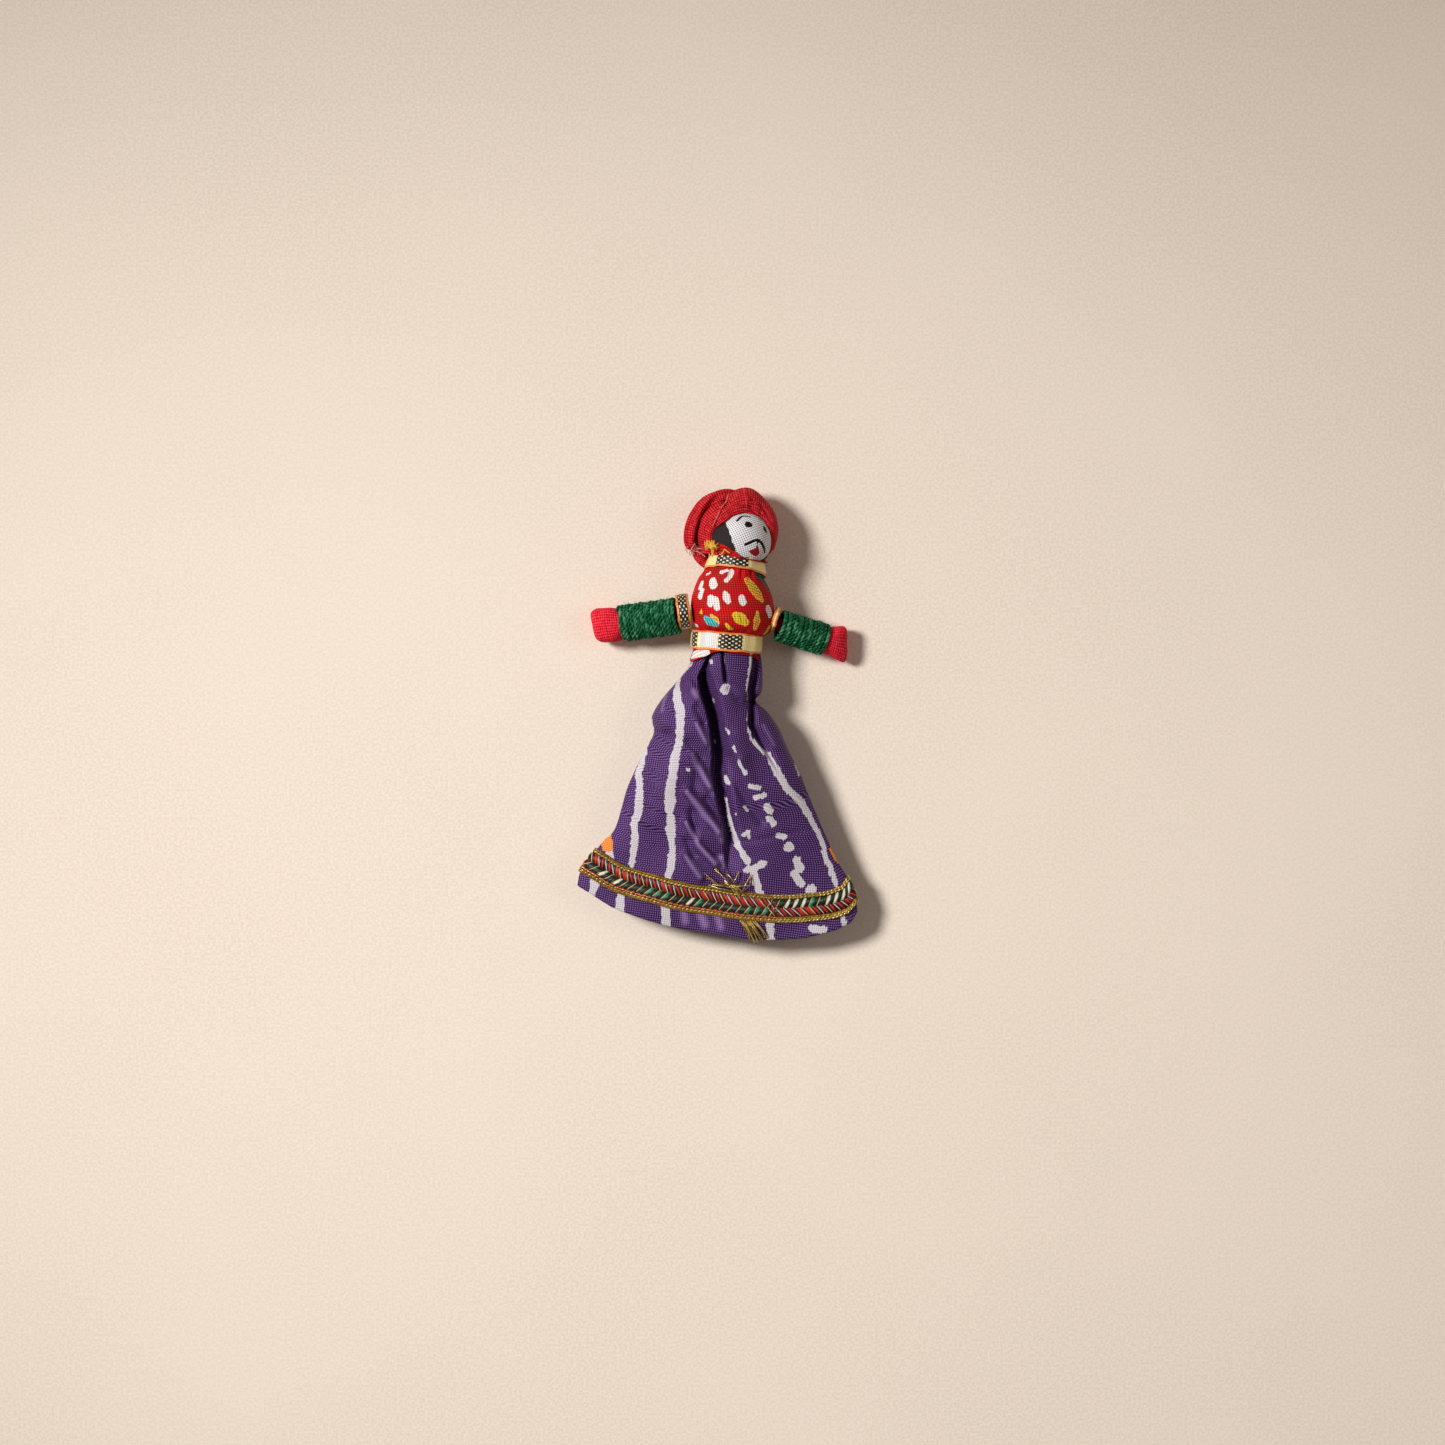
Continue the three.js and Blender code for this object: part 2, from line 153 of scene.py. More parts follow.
def row_lengths(grid, closed=True):
    """The length along each row up to each column, with the closing column last on a closed grid."""
    ring = np.concatenate([grid, grid[:, :1]], axis=1) if closed else grid
    steps = np.linalg.norm(np.diff(ring, axis=1), axis=2)
    return np.concatenate([np.zeros((len(grid), 1)), np.cumsum(steps, axis=1)], axis=1)


def column_lengths(grid):
    steps = np.linalg.norm(np.diff(grid, axis=0), axis=2)
    return np.concatenate([np.zeros((1, grid.shape[1])), np.cumsum(steps, axis=0)], axis=0)


def pair_map(across, down):
    """The cloth map whose columns lie at these places across and whose rows at these places down."""
    return np.stack(np.broadcast_arrays(across[None, :], down[:, None]), axis=-1)


def plain_map(grid, closed=True):
    """A cloth map of a tube: along its mean row and its mean column."""
    return pair_map(row_lengths(grid, closed).mean(axis=0), column_lengths(grid).mean(axis=1))


def smooth_rows(grid, times=1):
    """Average each inner row with the rows beside it."""
    for _ in range(times):
        grid[1:-1] = (grid[:-2] + 2 * grid[1:-1] + grid[2:]) / 4
    return grid


def grid_normals(grid, closed=True):
    if closed:
        ring = np.concatenate([grid[:, -1:], grid, grid[:, :1]], axis=1)
        across = ring[:, 2:] - ring[:, :-2]
    else:
        across = np.gradient(grid, axis=1)
    return unit(np.cross(across, np.gradient(grid, axis=0)))


def raised(normal, row, column):
    """The normals, all turned over if the one at this row and column points down."""
    return -normal if normal[row, column, 2] < 0 else normal


class Strands:
    """Many thin round threads in one mesh. tone is a value that the material reads for each thread."""

    def __init__(self):
        self.points = []
        self.quads = []
        self.uv = []
        self.tones = []
        self.count = 0

    def add(self, path, radius, tone=0.0, up=None, sides=5):
        path = np.asarray(path, float)
        count = len(path)
        tangent = unit(np.gradient(path, axis=0))
        up = np.broadcast_to(UP if up is None else up, path.shape)
        side = np.cross(tangent, up)
        side = np.where(np.linalg.norm(side, axis=1, keepdims=True) < 1e-3, np.array([1.0, 0, 0]), side)
        side = unit(side)
        over = np.cross(side, tangent)
        angle = np.arange(sides) / sides * 2 * math.pi
        radius = np.broadcast_to(radius, (count,))[:, None, None]
        ring = np.cos(angle)[None, :, None] * side[:, None] + np.sin(angle)[None, :, None] * over[:, None]
        quads, corners = grid_quads(count, sides, True)
        along = np.concatenate([[0], np.cumsum(np.linalg.norm(np.diff(path, axis=0), axis=1))])
        uv = pair_map(np.arange(sides + 1) / sides, along).reshape(-1, 2)
        self.points.append((path[:, None] + radius * ring).reshape(-1, 3))
        self.quads.append(quads + self.count)
        self.uv.append(uv[corners.ravel()])
        self.tones.append(np.full(count * sides, tone))
        self.count += count * sides

    def build(self, name, material):
        tones = {"tone": np.concatenate(self.tones)}
        points, quads = np.concatenate(self.points), np.concatenate(self.quads)
        return new_object(name, points, quads, material, np.concatenate(self.uv), tones)


def stroke_distance(points, strokes):
    """Signed distance from each point to the nearest painted stroke: each a line and its half widths."""
    best = np.full(len(points), FAR_OFF)
    for line, halves in strokes:
        line = np.asarray(line, float)
        halves = np.broadcast_to(halves, (len(line),))
        if len(line) == 1:
            best = np.minimum(best, np.linalg.norm(points - line[0], axis=1) - halves[0])
        for a, b, wa, wb in zip(line[:-1], line[1:], halves[:-1], halves[1:]):
            ab = b - a
            t = np.clip((points - a) @ ab / max(ab @ ab, 1e-9), 0, 1)
            away = np.linalg.norm(points - a - t[:, None] * ab, axis=1)
            best = np.minimum(best, away - wa - (wb - wa) * t)
    return best


def lifted(strokes, surface):
    """The strokes with each of their plan points moved up to the nearest point of the surface."""
    out = []
    for line, halves in strokes:
        line = np.asarray(line, float)
        near = [surface[np.argmin(((surface[:, :2] - p) ** 2).sum(1))] for p in line]
        out.append((np.array(near), halves))
    return out


# Shaders
def rgb(*values):
    """A colour from its sRGB bytes."""
    c = np.array(values, float) / 255
    return (*np.where(c <= 0.04045, c / 12.92, ((c + 0.055) / 1.055) ** 2.4), 1.0)


class Shader:
    """A material whose nodes are added one call at a time."""

    def __init__(self, name, **settings):
        self.material = bpy.data.materials.new(name)
        self.material.use_nodes = True
        self.tree = self.material.node_tree
        self.tree.nodes.clear()
        output = self.tree.nodes.new("ShaderNodeOutputMaterial")
        self.surface = self.tree.nodes.new("ShaderNodeBsdfPrincipled")
        self.tree.links.new(self.surface.outputs["BSDF"], output.inputs["Surface"])
        for key, value in settings.items():
            self.surface.inputs[key.replace("_", " ")].default_value = value

    def node(self, kind, inputs=None, output=0, **settings):
        node = self.tree.nodes.new(kind)
        for key, value in settings.items():
            setattr(node, key, value)
        for socket, value in (inputs or {}).items():
            self.put(node.inputs[socket], value)
        return node.outputs[output]

    def put(self, socket, value):
        if isinstance(value, bpy.types.NodeSocket):
            self.tree.links.new(value, socket)
        else:
            socket.default_value = value

    def math(self, operation, *values):
        return self.node("ShaderNodeMath", dict(enumerate(values)), operation=operation)

    def wave(self, value, width):
        """A sine wave whose crests and troughs are this width apart."""
        return self.math("SINE", self.math("MULTIPLY", value, math.pi / width))

    def stripes(self, value, width):
        """Rounded ridges of this width."""
        return self.math("ABSOLUTE", self.wave(value, width))

    def mix(self, share, low, high, blend="MIX"):
        inputs = {0: share, 6: low, 7: high}
        return self.node("ShaderNodeMix", inputs, output=2, data_type="RGBA", blend_type=blend)

    def band(self, value, low, high, to_low=0.0, to_high=1.0):
        inputs = {"Value": value, "From Min": low, "From Max": high, "To Min": to_low, "To Max": to_high}
        return self.node("ShaderNodeMapRange", inputs, interpolation_type="SMOOTHSTEP")

    def attribute(self, name):
        return self.node("ShaderNodeAttribute", output="Fac", attribute_name=name)

    def cloth(self, stretch=(1, 1), turn=0.0):
        """The cloth map in millimetres, stretched and turned."""
        uv = self.node("ShaderNodeUVMap", uv_map="cloth")
        inputs = {"Vector": uv, "Rotation": (0, 0, math.radians(turn)), "Scale": (*stretch, 1)}
        return self.node("ShaderNodeMapping", inputs)

    def noise(self, vector, scale, detail=2.0, rough=0.5):
        inputs = {"Vector": vector, "Scale": scale, "Detail": detail, "Roughness": rough}
        return self.node("ShaderNodeTexNoise", inputs)

    def split(self, vector):
        node = self.tree.nodes.new("ShaderNodeSeparateXYZ")
        self.tree.links.new(vector, node.inputs[0])
        return node.outputs[0], node.outputs[1]

    def weave(self, pitch=THREAD, turn=0.0):
        """Plain weave: the height of the upper thread, and how much of a hole there is between threads."""
        uv = self.cloth(turn=turn)
        wander = self.math("MULTIPLY", self.math("SUBTRACT", self.noise(uv, 0.35), 0.5), WEAVE_WANDER)
        x, y = self.split(uv)
        wave_x = self.wave(self.math("ADD", x, wander), pitch)
        wave_y = self.wave(self.math("SUBTRACT", y, wander), pitch)
        ridge_x = self.math("ABSOLUTE", wave_x)
        ridge_y = self.math("ABSOLUTE", wave_y)
        under = self.math("MULTIPLY", self.math("SIGN", wave_x), wave_y)
        over = self.math("MULTIPLY", self.math("SIGN", wave_y), wave_x)
        warp = self.math("MULTIPLY_ADD", under, 0.42, self.math("MULTIPLY", ridge_x, 0.58))
        weft = self.math("MULTIPLY_ADD", over, -0.42, self.math("MULTIPLY", ridge_y, 0.58))
        hole = self.band(self.math("MAXIMUM", ridge_x, ridge_y), 0.62, 0.25)
        return self.math("MAXIMUM", warp, weft), hole

    def ink(self, base, name, colour, ragged):
        """Paint over the base where the named distance is below 0, with an edge that follows the threads."""
        rough_edge = self.noise(self.cloth((0.8, 0.25)), 2.2, 1)
        noise = self.math("MULTIPLY", self.math("SUBTRACT", rough_edge, 0.5), ragged)
        distance = self.math("ADD", self.attribute(name), noise)
        return self.mix(self.band(distance, INK_EDGE, -INK_EDGE), base, colour)

    def shade(self, colour, height, hole, depth):
        """The colour with painted shade down between the threads and a painted highlight on their tops."""
        light = self.band(height, 0.3, 0.95, 1 - depth, 1.22)
        light = self.math("MULTIPLY", light, self.band(hole, 0, 1, 1.0, 1 - depth))
        grey = self.node("ShaderNodeCombineColor", {0: light, 1: light, 2: light})
        return self.mix(1.0, colour, grey, "MULTIPLY")

    def finish(self, colour, height, depth_mm, roughness=None):
        self.put(self.surface.inputs["Base Color"], colour)
        if roughness is not None:
            self.put(self.surface.inputs["Roughness"], roughness)
        bump = self.node("ShaderNodeBump", {"Height": height, "Distance": depth_mm * MM, "Strength": 1.0})
        self.put(self.surface.inputs["Normal"], bump)
        return self.material


def scaled(colour, share):
    return (*(c * share for c in colour[:3]), 1)


def fabric(
    name, colour, inks=(), varied=0.12, depth_mm=0.12, gap=0.4, ink_gap=0.3,
    glint=None, painted_highlight=None, pitch=THREAD, turn=0.0, roughness=0.7, **settings,
):
    """Woven cotton, with printed inks from named distances. Two colours paint highlights: the glint on the
    thread tops, and a second one in streaks along the creases."""
    s = Shader(name, **settings)
    height, hole = s.weave(pitch, turn)
    tint = s.band(s.noise(s.cloth(), 0.12, 4), 0.3, 0.7)
    base = s.mix(tint, scaled(colour, 1 - varied), scaled(colour, 1 + varied))
    fibres = s.noise(s.cloth((1, 5)), 3.5, 3)
    base = s.mix(s.math("MULTIPLY", fibres, 0.25), base, (0, 0, 0, 1))
    # Painted highlight: the glint colour laid on the thread tops
    if glint:
        top = s.math("MULTIPLY", s.band(height, 0.72, 1.0), s.band(fibres, 0.3, 0.6, 0.35, 1.0))
        base = s.mix(top, base, glint)
    base = s.shade(base, height, hole, gap)
    # Painted highlight: lighter streaks along the creases, where the cloth would catch the light
    if painted_highlight:
        highlight_share = s.band(s.attribute("painted_highlight"), 1.5, -0.7)
        highlight_share = s.math("MULTIPLY", highlight_share, s.band(height, 0.3, 0.9, 0.2, 0.95))
        base = s.mix(highlight_share, base, painted_highlight)
    for attribute, ink, ragged in inks:
        base = s.ink(base, attribute, s.shade(ink, height, hole, ink_gap), ragged)
    lumpy = s.math("MULTIPLY_ADD", fibres, 0.25, height)
    rough = s.band(fibres, 0.3, 0.7, roughness - 0.08, roughness + 0.08)
    return s.finish(base, lumpy, depth_mm, rough)


def crepe(name, colour, bright, dark):
    """Crinkled crepe: short ridges across the threads, with painted highlights where they stand up and
    painted shade where they sink.
    """
    s = Shader(name, Specular_IOR_Level=0.12)
    height, hole = s.weave(0.62)
    crinkle = s.noise(s.cloth((1.0, 1.8)), 0.85, 4, 0.75)
    total = s.math("MULTIPLY_ADD", crinkle, 0.8, s.math("MULTIPLY", height, 0.6))
    # Painted shade in the low crinkles and painted highlight on the raised ones
    base = s.mix(s.band(total, 0.55, 0.8), dark, colour)
    base = s.mix(s.band(total, 0.84, 1.02), base, bright)
    rough = s.band(crinkle, 0.3, 0.7, 0.85, 0.65)
    return s.finish(base, total, 0.2, rough)


def yarn_material():
    """Two-ply wool: fine fibres run along each ply, with a painted highlight on some of them."""
    sheen = {"Sheen_Weight": 0.12, "Sheen_Roughness": 0.5, "Sheen_Tint": rgb(60, 200, 130)}
    s = Shader("green_wool", **sheen, Specular_IOR_Level=0.15)
    fibre = s.noise(s.cloth((9, 1.2)), 2.0, 4, 0.65)
    length = s.noise(s.cloth((0.1, 0.25)), 1.0, 2)
    base = s.mix(s.band(fibre, 0.35, 0.7), rgb(1, 42, 26), rgb(14, 116, 70))
    # Painted highlight: a pale green laid over some stretches of fibre
    base = s.mix(s.math("MULTIPLY", s.band(length, 0.45, 0.65), 0.6), base, rgb(96, 178, 132))
    return s.finish(base, fibre, 0.05, s.band(fibre, 0.3, 0.7, 0.9, 0.7))


# Painted shade: the near-black laid down between a thread's plies
PAINTED_PLY_SHADE = (0.02, 0.012, 0.005, 1)


def thread_material(name, colours, metallic=0.0, roughness=0.7):
    """Fine threads whose colour steps through the list with their tone."""
    s = Shader(name, Metallic=metallic)
    tone = s.attribute("tone")
    base = colours[0]
    for step, colour in enumerate(colours[1:]):
        base = s.mix(s.band(tone, step + 0.4, step + 0.6), base, colour)
    twist = s.noise(s.cloth((3, 1.5)), 1.6, 3, 0.6)
    # Painted shade between the plies, where the twist is low
    base = s.mix(s.band(twist, 0.35, 0.65, 0.45, 0.0), base, PAINTED_PLY_SHADE)
    return s.finish(base, twist, 0.06, s.band(twist, 0.3, 0.7, roughness - 0.12, roughness + 0.12))


# Widths in the gota tape, in mm: a gold weft, a rib of the painted white highlight patches, a check and a
# stitch of the edge
GOTA_WEFT = 0.42
GOTA_RIB = 0.5
GOTA_CHECK = (0.95, 0.56)
GOTA_BINDING = 0.55


def gota_material():
    """Metallic ribbon: gold weft over cream and bound orange edges. In places a white patch is a painted
    highlight, and in places its weave's checks carry painted dark and light reflections as black and cream
    squares.
    """
    s = Shader("gota_ribbon", Specular_IOR_Level=0.6, Metallic=0.08)
    x, y = s.split(s.cloth())
    wobble = s.math("MULTIPLY", s.math("SUBTRACT", s.noise(s.cloth(), 0.8), 0.5), 0.5)
    lines = s.stripes(y, GOTA_WEFT)
    ribs = s.stripes(x, GOTA_RIB)
    # Painted highlight on the crests of the weft lines
    gold = s.mix(s.band(lines, 0.1, 0.7), rgb(255, 212, 116), rgb(255, 244, 180))
    gold = s.mix(s.math("MULTIPLY", s.noise(s.cloth(), 0.5), 0.3), gold, rgb(250, 196, 100))
    # Painted shade down between the ribs of the white patches
    white = s.mix(s.band(ribs, 0.0, 0.4), rgb(180, 178, 170), rgb(224, 226, 225))
    # Painted highlight: white patches where the tape faces the light
    base = s.mix(s.band(s.attribute("white"), 0.15, -0.15), gold, white)
    # Painted reflection: cream and black squares over the weave's check in the check stretches
    across = s.wave(s.math("ADD", x, wobble), GOTA_CHECK[0])
    down = s.wave(y, GOTA_CHECK[1])
    check = s.band(s.math("MULTIPLY", across, down), 0.6, 0.42)
    check = s.math("MULTIPLY", check, s.band(s.math("ADD", s.attribute("check"), wobble), 0.2, -0.2))
    base = s.mix(s.band(s.attribute("check"), 0.2, -0.2), base, rgb(252, 240, 196))
    base = s.mix(check, base, rgb(14, 9, 8))
    orange = s.mix(s.stripes(s.math("ADD", x, y), GOTA_BINDING), rgb(206, 84, 22), rgb(255, 164, 76))
    base = s.mix(s.band(s.attribute("edge"), 0.1, -0.1), base, orange)
    height = s.math("ADD", s.math("MULTIPLY", lines, 0.5), s.math("MULTIPLY", ribs, 0.5))
    return s.finish(base, height, 0.08, s.band(lines, 0.2, 0.8, 0.5, 0.32))


# Inks: (the distance that they follow, colour, how ragged their edge is)
SKIRT_INKS = [("white", rgb(208, 202, 206), 1.5), ("orange", rgb(236, 140, 30), 1.0)]
BODICE_INKS = [
    ("white", rgb(246, 232, 228), 0.8), ("yellow", rgb(255, 192, 70), 0.5),
    ("lime", rgb(238, 200, 56), 0.6), ("teal", rgb(10, 122, 116), 0.5), ("cyan", rgb(84, 208, 212), 0.4),
    ("rib", rgb(24, 10, 8), 0.12),
]
FACE_PAINTS = [
    ("hair", rgb(48, 40, 42), 0.7), ("line", rgb(18, 14, 16), 0.4), ("lips", rgb(168, 18, 32), 0.5),
]
# The purple print's glint and its crease streaks are painted highlights
PURPLE = fabric(
    "purple_print", rgb(61, 31, 84), SKIRT_INKS, gap=0.97, ink_gap=0.26, depth_mm=0.09, varied=0.2,
    glint=rgb(150, 108, 180), painted_highlight=rgb(172, 138, 200), roughness=0.42,
    Specular_Tint=rgb(214, 170, 255), Specular_IOR_Level=0.36,
)
RED_PRINT = fabric(
    "red_floral_print", rgb(226, 26, 28), BODICE_INKS, gap=0.75, ink_gap=0.4, depth_mm=0.1, turn=8,
    roughness=0.7, Specular_IOR_Level=0.15,
)
FACE_CLOTH = fabric(
    "painted_face_cloth", rgb(252, 250, 253), FACE_PAINTS, gap=0.6, ink_gap=0.5, depth_mm=0.12, varied=0.03,
    turn=-20, roughness=0.8, Specular_IOR_Level=0.2,
)
COTTON = fabric("plain_cotton", rgb(214, 200, 174), varied=0.1, roughness=0.9)
# The last two colours of each crepe are its painted highlight and its painted shade
TURBAN_RED = crepe("turban_crepe", rgb(200, 20, 32), rgb(244, 76, 82), rgb(70, 1, 6))
HAND_RED = crepe("hand_crepe", rgb(234, 26, 50), rgb(255, 84, 100), rgb(158, 4, 22))
WOOL = yarn_material()
GOTA = gota_material()
LACE_COLOURS = [
    rgb(176, 134, 44), rgb(250, 226, 140), rgb(214, 44, 34), rgb(60, 8, 10), rgb(4, 36, 24),
    rgb(20, 150, 104), rgb(250, 244, 236),
]
ZARI = thread_material("zari_thread", LACE_COLOURS[:2], metallic=0.75, roughness=0.34)
SILK = thread_material("lace_silk", LACE_COLOURS, metallic=0.0, roughness=0.35)


# Skirt
APEX = np.array([3.1, 35.0])
SKIRT_TOP = 15.0
SKIRT_ROWS = 190
SKIRT_FRONT_COLUMNS = 250
SKIRT_BACK_COLUMNS = 96
CLOTH_GAP = 0.45
HEM_ROUND = 0.22
# How the skirt changes with the distance from the apex: heights of its top, sides and underside, and
# how square its front and its back are
FRONT_HEIGHT = ([15, 18.5, 23, 30, 42, 55, 75, 97], [15.9, 16.3, 17.3, 17.8, 17.2, 15.6, 13, 10.8])
SIDE_HEIGHT = ([15, 22, 30, 45, 70, 97], [10.5, 10.6, 10.8, 10.6, 10.0, 8.6])
BACK_HEIGHT = ([15, 18.5, 23, 30, 45, 97], [5.1, 4.7, 3.6, 2.2, 1.05, 0.95])
FRONT_POWER = ([15, 40, 97], [2.0, 2.5, 3.4])
BACK_POWER = ([15, 25, 45], [2.0, 3.0, 7.0])
# The folds fade out between these distances from the apex
FOLDS_END = (81, 88)
LEFT_EDGE = [
    (-6.3, 20.5), (-6.7, 17), (-7.8, 13.7), (-10.1, 10.4), (-12.3, 7.8), (-16.2, 3.1), (-18.5, -1.4),
    (-17.9, -5.3), (-19.6, -9), (-21.8, -13.2), (-23.5, -16.8), (-25.5, -21.6), (-28.6, -32),
    (-31.9, -35.6), (-34.2, -38.6), (-38.1, -43.7), (-39.2, -47.9),
]
RIGHT_EDGE = [
    (11.1, 20.5), (11.8, 16.5), (12.4, 11.8), (12.2, 6.2), (10.6, 3.3), (13.6, 0.4), (16.8, -3.9),
    (18.8, -8.4), (20.2, -11.5), (23.2, -17.6), (25.2, -22.7), (27.4, -28), (28.8, -31.4), (33, -40.6),
    (36.1, -45.9), (38.2, -51), (38.9, -55.2),
]
HEM_EDGE = [
    (-39.2, -47.9), (-35.6, -50), (-29.7, -53.8), (-26, -55.3), (-16.5, -58.5), (-9, -60.2),
    (-2.2, -61.2), (6.7, -62.7), (15.4, -63), (24.4, -62.4), (33, -60.2), (37, -58.2), (38.9, -55.2),
]
# Each pleat's left side stands over its right: (x, y, drop, run back up to the right).
GROOVE = [
    (-2.6, 17.5, 2.2, 1.2), (-3.2, 14.7, 3.5, 1.4), (-4.6, 12, 5, 2.4), (-5.3, 10.2, 6.8, 4.4),
    (-4.6, 5.4, 8, 5.4), (-2.7, -0.8, 7.6, 5), (-1.8, -5.8, 7, 5), (-1.4, -12, 6.4, 6.6),
    (-1.6, -16, 5.8, 6.6), (-0.9, -21, 5.2, 6), (0.3, -26, 4.6, 5), (1.6, -32, 3.8, 5), (1.9, -36, 3, 5),
    (2.2, -41, 1.6, 5), (2.7, -45, 0, 5),
]
SLOT = [
    (0.8, 17.5, 1.8, 0.9), (1, 16.2, 2.4, 1), (1.3, 12.5, 2.8, 1.2), (1.6, 9.7, 2.4, 1.4),
    (1.9, 7.8, 0, 1.4),
]
RIGHT_PLEAT = [
    (10, 17.5, 2, 3), (9.8, 14.2, 3, 3.5), (9.1, 10, 3.8, 3.5), (8.5, 6.4, 4, 3.2), (8.8, 2.9, 3.8, 2.4),
    (8.6, -3.3, 3.4, 2.8), (10.3, -6.6, 2.6, 3), (13.8, -11.8, 1.1, 3), (17, -17, 0, 3),
]
# Ripples and creases: line, height, width
FOLDS = [
    ([(-7.7, 8.4), (-5.9, 4.2)], 0.9, 0.9), ([(-5.9, -3), (-3.1, -8.6)], 1.5, 0.9),
    ([(-7, -11.6), (-4.6, -15.6), (-2.2, -20.6)], 1.9, 1.0),
    ([(-8.4, -22), (-4, -27), (0.4, -33.2)], 2.2, 1.1),
    ([(-8.7, -30.5), (-5, -37), (-0.6, -42)], 1.9, 1.0),
    ([(-9, -39.7), (-7, -43), (-4.9, -46)], 1.4, 1.0), ([(-7.2, -27.5), (-6.3, -35)], -1.2, 1.1),
    ([(-3.2, -24), (0, -28.5)], -0.9, 0.9), ([(-5.6, -15), (-6.4, -20)], -0.8, 1.1),
    ([(-6, 1.5), (-3.6, -2.6)], -0.8, 0.9), ([(-4.5, -36), (0.2, -39.5)], -0.9, 0.9),
    ([(-8.2, -8), (-5, -12.5)], -0.7, 0.9), ([(-8.6, -35.5), (-6.8, -39.5)], -0.8, 0.9),
    ([(3.4, -12.5), (4.8, -19), (8, -25), (12, -30)], -1.1, 1.3),
    ([(7, -13.5), (9.6, -20), (14.2, -28)], 0.6, 1.8),
    ([(3.2, -36.1), (14, -34.8), (27.2, -32.1)], -0.3, 0.7), ([(12.8, 3.4), (9.6, 3.2)], -3.0, 1.1),
    ([(3.2, 6.8), (5.8, 3.9)], -0.8, 0.8), ([(-19, -3.4), (-14.5, -6)], -1.4, 1.5),
    ([(-14.6, 3), (-15.4, -4)], 0.8, 2.2), ([(-17, -12), (-19.5, -26)], -0.5, 3.0),
    ([(18, -14), (26, -34)], 0.5, 3.0), ([(6, -6), (7, -12)], 0.5, 2.2),
]
# Painted highlights in streaks along the creases: line, half widths
PAINTED_CREASE_HIGHLIGHTS = [
    ([(-6.7, 5.8), (-5.3, 4.4)], 0.4), ([(-5.6, -3.4), (-3.6, -7.1), (-2.2, -9.2)], [0.5, 0.4, 0.1]),
    (
        [(-6.6, -11.5), (-5.6, -15.3), (-3.6, -18.7), (-1.9, -20.7), (-0.5, -23.4)],
        [0.1, 0.4, 0.7, 0.4, 0.1],
    ),
    (
        [(-8.7, -21.7), (-6.6, -25.1), (-3.9, -28.5), (-1.6, -31.2), (0.5, -33.6), (1.5, -35.3)],
        [0.1, 0.5, 0.7, 0.6, 0.7, 0.3],
    ),
    (
        [(-9, -30.6), (-7, -33.3), (-5.3, -36), (-3.6, -38.7), (-1.6, -41.1), (0.1, -42.4)],
        [0.1, 0.3, 0.6, 0.5, 0.5, 0.3],
    ),
    ([(-8.7, -40.1), (-7.3, -42.4), (-5, -45.1)], [0.1, 0.4, 0.3]), ([(0.8, -40.2), (1.5, -42.1)], 0.3),
    ([(-9.5, -54.5), (-9, -58)], 0.4), ([(-5, -55), (-4, -59)], 0.5), ([(0, -56.2), (0.8, -59.5)], 0.3),
    ([(-14.5, 4.5), (-15.6, 0.5)], -0.2), ([(12.6, -3.5), (15.5, -9)], -0.3),
]
